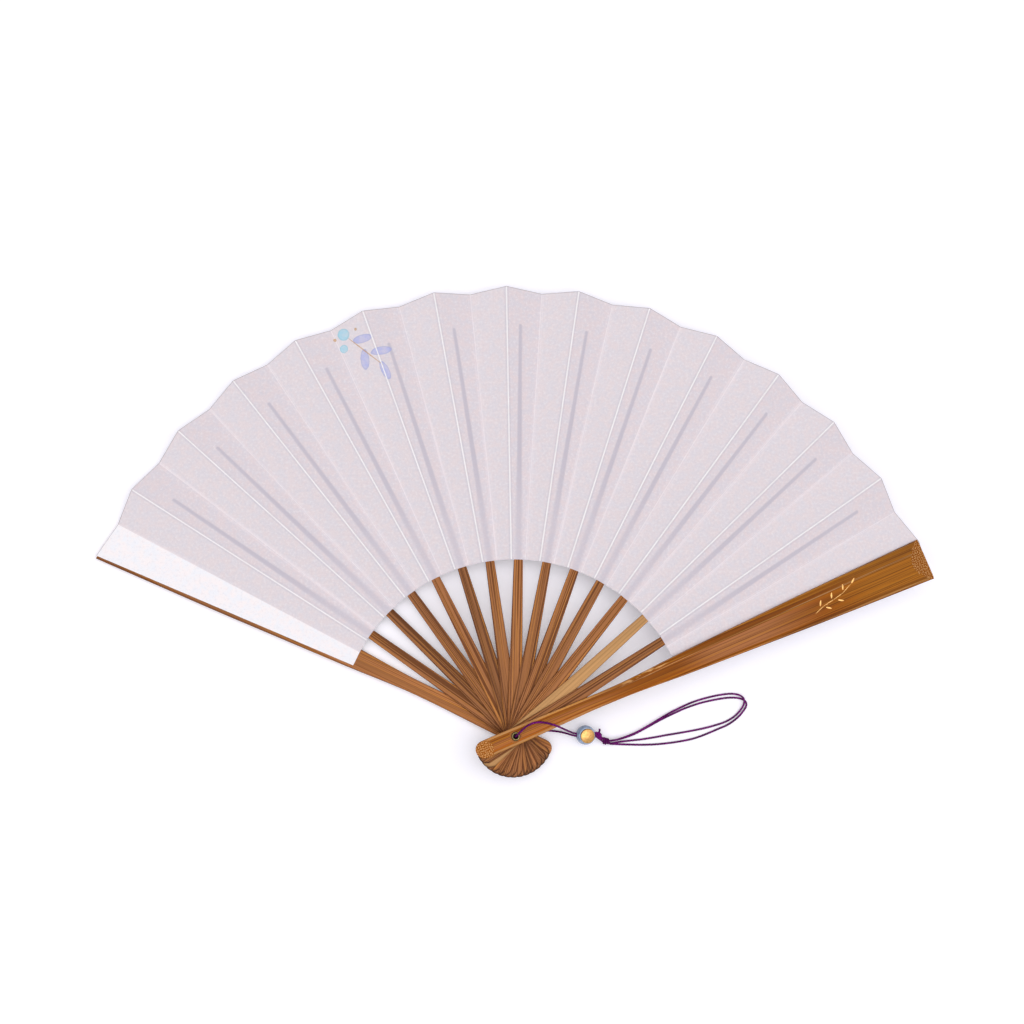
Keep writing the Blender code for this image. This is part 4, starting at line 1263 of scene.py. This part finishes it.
class FAN_OT_ribs(bpy.types.Operator):
    """Make the thirteen bamboo ribs"""

    bl_idname = "fan.ribs"
    bl_label = "Make Ribs"

    def execute(self, context):
        sizes = context.scene.fan_sticks
        colours = context.scene.fan_colours
        plain = bamboo_material("rib_bamboo", colours.bamboo, colours, 0.46, 0.86)
        pale = bamboo_material("pale_rib_bamboo", colours.pale_bamboo_and_highlight, colours, 0.46, 0.22)
        stations = stick_stations(RIB_OUTLINE, sizes.handle_reach, RIB_SPACING, RIB_SMOOTHING)
        blade_end = RIB_OUTLINE[-1][0]
        (tail_start, _), (tail_end, _) = RIB_TAIL
        for step in range(9):
            reach = tail_start + (tail_end - tail_start) * step / 8
            stations.append((reach, along(RIB_TAIL, reach)))
        for stick in range(1, FRONT):
            matrix = stick_frame(stick, leaf_apex(stick))
            tone = DARK_RIB_TONE if stick in DARK_RIBS else RIB_TONE_RANGE * wobble(stick, 2)

            def shape(column, row, side):
                reach, width = stations[column]
                share, drop = EDGE_DROP_SHARES[row]
                turn = eased((reach - blade_end + sizes.twist_length) / sizes.twist_length)
                thick = sizes.rib_thickness + turn * (sizes.shoulder_thickness - sizes.rib_thickness)
                drift = 0.0
                if reach > blade_end:
                    thick = sizes.tail_thickness
                    drift = sizes.tail_drift * tail_share(reach)
                up = (1 if side else -1) * (thick / 2 - min(sizes.rib_edge, 0.3 * thick) * drop)
                across = share * width / 2
                lean = Matrix.Rotation(turn * panel_lean(), 4, "X")
                return matrix @ lean @ Vector((reach, across + drift, up)), {
                    "grain": (reach, across, GRAIN_SHIFT * stick),
                    "share": float(share),
                    "tone": float(tone),
                    "char": charred_share(sizes, reach, across),
                }

            material, slot = (pale, "pale_rib_bamboo") if stick == PALE_RIB else (plain, "rib_bamboo")
            make_stick(f"rib_{stick:02d}", stick, leaf_apex(stick), stations, shape, material)
        return {"FINISHED"}


class FAN_OT_leaf(bpy.types.Operator):
    """Make the pleated paper leaf, panel by panel"""

    bl_idname = "fan.leaf"
    bl_label = "Make Leaf"

    def execute(self, context):
        colours = context.scene.fan_colours
        self.leaf = context.scene.fan_leaf
        self.sticks = context.scene.fan_sticks
        printed = paper_material("leaf_paper", colours, True)
        plain = paper_material("end_paper", colours, False)
        for stick in (0, FRONT):
            node = "leaf_end_back" if stick == 0 else "leaf_end_front"
            data = self.thick_panel(node, stick, False)
            piece(node + "_paper", data, plain, body_name(stick), [node], 30)
        for stick in range(1, FRONT):
            node = f"leaf_pocket_{stick:02d}"
            data = self.thick_panel(node, stick, True)
            piece(node + "_paper", data, printed, body_name(stick), [node], 30)
        for stick in range(1, FRONT + 1):
            self.fold_panel(stick, printed)
        return {"FINISHED"}

    def radius(self, side, share):
        """Radius along a fold at a share of its length."""
        outer = self.leaf.mountain_radius if side == MOUNTAIN else self.leaf.valley_radius
        return self.leaf.inner_radius + share * (outer - self.leaf.inner_radius)

    def edges(self, start, end, share):
        """The two ends of a line across a panel, at a share of its length."""
        return [fold_point(*fold, self.radius(fold[1], share)) for fold in (start, end)]

    def values(self, spot, start, near, far, share, cross, tail=NO_TAIL):
        """What the paper's material needs to know at a place on a panel."""
        width = (far - near).length
        from_start = cross * width
        from_end = (1 - cross) * width
        mountain, valley = (from_start, from_end) if start[1] == MOUNTAIN else (from_end, from_start)
        outer = self.leaf.valley_radius - self.leaf.inner_radius
        signed = valley if start[1] == MOUNTAIN else -valley
        return {
            "spread_place": (spot.x, spot.y, 0.0),
            "fold_gaps": (mountain, valley, (1 - share) * outer),
            "fold_run": (share * outer, signed, STREAK_SHIFT * start[0]),
            "tail_place": tail,
            # 1 on a fold panel, which the paper is painted lighter on to make up for the shade of its
            # steeper slope
            "worn": float(start[1] == VALLEY),
        }

    def thick_panel(self, name, stick, ridged):
        """A panel with its full thickness, from its mountain fold to its valley fold."""
        start, end = (stick, MOUNTAIN), (stick, VALLEY)
        columns = 36
        sides = PANEL_SIDE_SHARES
        rows = 2 * len(sides) + len(RIDGE_SHARES) - 1
        outward = Matrix.Rotation(azimuth(stick), 3, "Z") @ Vector((1, 0, 0))

        def shape(column, row, side):
            share = column / columns
            near, far = self.edges(start, end, share)
            width = (far - near).length
            reach = self.radius(MOUNTAIN, share)
            tail_half = along(RIB_TAIL, reach) / 2
            ridge_half = tail_half + self.leaf.ridge_slope
            centre = 0.5 - self.sticks.tail_drift * tail_share(reach) / width
            low = centre - ridge_half / width
            high = centre + ridge_half / width
            last = len(sides) + len(RIDGE_SHARES) - 1
            ridge = 0.0
            if row < len(sides):
                cross = low * sides[row]
            elif row > last:
                cross = 1 - (1 - high) * sides[rows - row]
            else:
                offset = RIDGE_SHARES[row - len(sides)] * ridge_half
                cross = centre + offset / width
                slope = self.leaf.ridge_slope
                ridge = 1 - eased((abs(offset) - tail_half + 0.3 * slope) / (1.3 * slope))
                ridge *= 1 - eased((reach - RIB_TAIL[1][0]) / (2 * slope))
            spot = near.lerp(far, cross)
            up = (near - far).normalized().cross(outward)
            up = up if up.z > 0 else -up
            half = self.leaf.paper / 2
            tail = NO_TAIL
            if ridged:
                half += self.leaf.ridge_height * ridge
                tail = ((cross - centre) * width, reach - RIB_TAIL[1][0], tail_half)
            values = self.values(spot, start, near, far, share, cross, tail)
            return spot + up.normalized() * (half if side else -half), values

        return shaped(name, lattice(columns, rows, True), columns, rows, shape)

    def fold_panel(self, stick, material):
        """The panel that rises from the last stick's valley fold to this stick's mountain fold."""
        start, end = (stick - 1, VALLEY), (stick, MOUNTAIN)
        columns = 24
        rows = 2

        def shape(column, row, side):
            share = column / columns
            near, far = self.edges(start, end, share)
            cross = row / rows
            spot = near.lerp(far, cross)
            return spot, self.values(spot, start, near, far, share, cross)

        node = f"leaf_fold_{stick:02d}"
        data = shaped(node, lattice(columns, rows, False), columns, rows, shape)
        if data.polygons[0].normal.z < 0:
            data.flip_normals()
        panel = piece(node + "_paper", data, material, None, [node], 30)
        data.shade_flat()
        wall = panel.modifiers.new("paper", "SOLIDIFY")
        wall.thickness = self.leaf.paper
        wall.offset = 0
        first = self.edges(start, end, 0)
        last = self.edges(start, end, 1)
        normal = (last[0] - first[0]).cross(last[1] - first[1]).normalized()
        normal = normal if normal.z > 0 else -normal
        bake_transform(panel)


class FAN_OT_eyelet(bpy.types.Operator):
    """Make the rolled brass eyelet"""

    bl_idname = "fan.eyelet"
    bl_label = "Make Eyelet"

    def execute(self, context):
        sizes = context.scene.fan_eyelet
        brass = eyelet_material("eyelet_brass", context.scene.fan_colours.brass, sizes, 0.36)
        low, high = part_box("eyelet_barrel")
        top = high.z - sizes.roll
        front = [(sizes.bore, 0, low.z), *self.lip(sizes, top, 1)]
        front += [(sizes.barrel, 0, top), (sizes.barrel, 0, low.z)]
        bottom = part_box("eyelet_collar")[0].z + sizes.roll
        end = bottom + sizes.collar_length
        back = [
            *self.lip(sizes, bottom, -1), (sizes.collar_outer, 0, bottom), (sizes.collar_outer, 0, end),
            (sizes.collar_inner, 0, end), (sizes.collar_inner, 0, bottom),
        ]
        for node, outline in (("eyelet_barrel", front), ("eyelet_collar", back)):
            work = spun(outline, (0, 0, 1), 48, True)
            bmesh.ops.translate(work, verts=work.verts, vec=RIVET)
            piece(node + "_brass", from_work(node, work), brass, "back_stick", [node], 40)
        return {"FINISHED"}

    def lip(self, sizes, level, outward):
        """Outline of a flange's rolled lip, over or under a level."""
        centre = (sizes.bore + sizes.flange) / 2
        points = []
        for angle in arc(0, math.pi, 12):
            rise = outward * sizes.roll * math.sin(angle)
            points.append((centre - sizes.roll * math.cos(angle), 0, level + rise))
        return points


class FAN_OT_sprig(bpy.types.Operator):
    """Make the small painted gold sprig on the front guard"""

    bl_idname = "fan.sprig"
    bl_label = "Make Gold Sprig"

    def execute(self, context):
        face = FRONT_INNER_FACE + context.scene.fan_sticks.guard_thickness
        joined = bmesh.new()
        for here, there in zip(SPRIG_STEM, SPRIG_STEM[1:]):
            start, end = Vector((*here, 0)) * MM, Vector((*there, 0)) * MM
            half_length = (end - start).length * STEM_OVERLAP_SHARE
            self.stroke(joined, (start + end) / 2, half_length, STEM_HALF_WIDTH, end - start)
        for reach, across, turn in SPRIG_LEAVES:
            heading = Vector((math.cos(math.radians(turn)), math.sin(math.radians(turn)), 0))
            self.stroke(joined, Vector((reach, across, 0)) * MM, LEAF_HALF_LENGTH, LEAF_HALF_WIDTH, heading)
        bmesh.ops.transform(joined, matrix=stick_frame(FRONT, face), verts=joined.verts)
        gold = metal_material("painted_gold", context.scene.fan_colours.gold, 0.8, 0.42, PAINT_RELIEF)
        piece("gold_sprig", from_work("gold_sprig", joined), gold, "front_stick", [], 60)
        return {"FINISHED"}

    def stroke(self, joined, centre, half_length, half_width, heading):
        """A raised oval brush stroke."""
        work = bmesh.new()
        bmesh.ops.create_uvsphere(work, u_segments=16, v_segments=8, radius=1)
        bmesh.ops.scale(work, vec=(half_length, half_width, PAINT_HEIGHT), verts=work.verts)
        turn = Matrix.Rotation(math.atan2(heading.y, heading.x), 3, "Z")
        bmesh.ops.rotate(work, matrix=turn, verts=work.verts)
        bmesh.ops.translate(work, vec=centre, verts=work.verts)
        joined.from_mesh(from_work("stroke", work))


class FAN_OT_studio(bpy.types.Operator):
    """Make the pale floor and the soft light"""

    bl_idname = "fan.studio"
    bl_label = "Make Studio"

    def execute(self, context):
        studio = context.scene.fan_studio
        context.scene.view_settings.view_transform = "Standard"
        work = bmesh.new()
        bmesh.ops.create_grid(work, x_segments=1, y_segments=1, size=studio.floor_size / 2)
        bmesh.ops.translate(work, verts=work.verts, vec=(0, 0, -studio.floor_gap))
        data = bpy.data.meshes.new("floor")
        work.to_mesh(data)
        work.free()
        floor = bpy.data.objects.new("floor", data)
        context.scene.collection.objects.link(floor)
        data.materials.append(self.floor_material(studio))
        self.make_world(context, studio)
        for side, name in ((1, "right_light"), (-1, "left_light")):
            data = bpy.data.lights.new(name, "SUN")
            data.energy = studio.sun_light
            data.angle = studio.sun_spread
            lamp = bpy.data.objects.new(name, data)
            lamp.rotation_euler = (0, side * studio.sun_lean, 0)
            context.scene.collection.objects.link(lamp)
        return {"FINISHED"}

    def seen_directly(self, tree):
        """1 for rays that show the background, and 0 for rays that light the fan."""
        rays = add_node(tree, "ShaderNodeLightPath").outputs
        direct = calc(tree, "MAXIMUM", rays["Is Camera Ray"], rays["Is Glossy Ray"])
        return calc(tree, "MAXIMUM", direct, rays["Is Transmission Ray"])

    def floor_material(self, studio):
        """A pale floor that keeps the fan's shadow and looks white elsewhere."""
        material, tree, shader = blank_material("floor")
        wire(tree, shader, {
            "Base Color": studio.floor_colour, "Roughness": 0.9, "Specular IOR Level": 0.0,
            "Emission Color": (1, 1, 1),
            "Emission Strength": product(tree, self.seen_directly(tree), studio.floor_glow),
        })
        return material

    def make_world(self, context, studio):
        """Even light from all round, white where it is seen directly."""
        world = bpy.data.worlds.new("studio")
        world.use_nodes = True
        context.scene.world = world
        tree = world.node_tree
        strength = add_node(
            tree, "ShaderNodeMapRange",
            inputs={"Value": self.seen_directly(tree), "To Min": studio.sky_light, "To Max": 1.0},
        ).outputs["Result"]
        wire(tree, tree.nodes["Background"], {"Color": studio.sky_colour, "Strength": strength})


OPERATORS = (
    FAN_OT_camera, FAN_OT_cords, FAN_OT_guards, FAN_OT_ribs, FAN_OT_leaf, FAN_OT_eyelet, FAN_OT_sprig,
    FAN_OT_studio,
)


class FAN_PT_panel(bpy.types.Panel):
    """Lists the fan's pieces"""

    bl_idname = "FAN_PT_panel"
    bl_label = "Folding Fan"
    bl_space_type = "VIEW_3D"
    bl_region_type = "UI"
    bl_category = "Folding Fan"

    def draw(self, context):
        for operator in OPERATORS:
            self.layout.operator(operator.bl_idname)
        for group, kind in GROUPS.items():
            box = self.layout.box()
            for key in kind.__annotations__:
                box.prop(getattr(context.scene, group), key)


def register():
    """Registers the fan's sizes, operators and panel."""
    for group, kind in GROUPS.items():
        bpy.utils.register_class(kind)
        setattr(bpy.types.Scene, group, bpy.props.PointerProperty(type=kind))
    for kind in (*OPERATORS, FAN_PT_panel):
        bpy.utils.register_class(kind)


def unregister():
    """Takes the fan's sizes, operators and panel away again."""
    for kind in reversed((*OPERATORS, FAN_PT_panel)):
        bpy.utils.unregister_class(kind)
    for group, kind in GROUPS.items():
        delattr(bpy.types.Scene, group)
        bpy.utils.unregister_class(kind)


def main():
    """Makes the whole fan and its studio."""
    register()
    for operator in OPERATORS:
        group, action = operator.bl_idname.split(".")
        getattr(getattr(bpy.ops, group), action)()


if __name__ == "__main__":
    main()
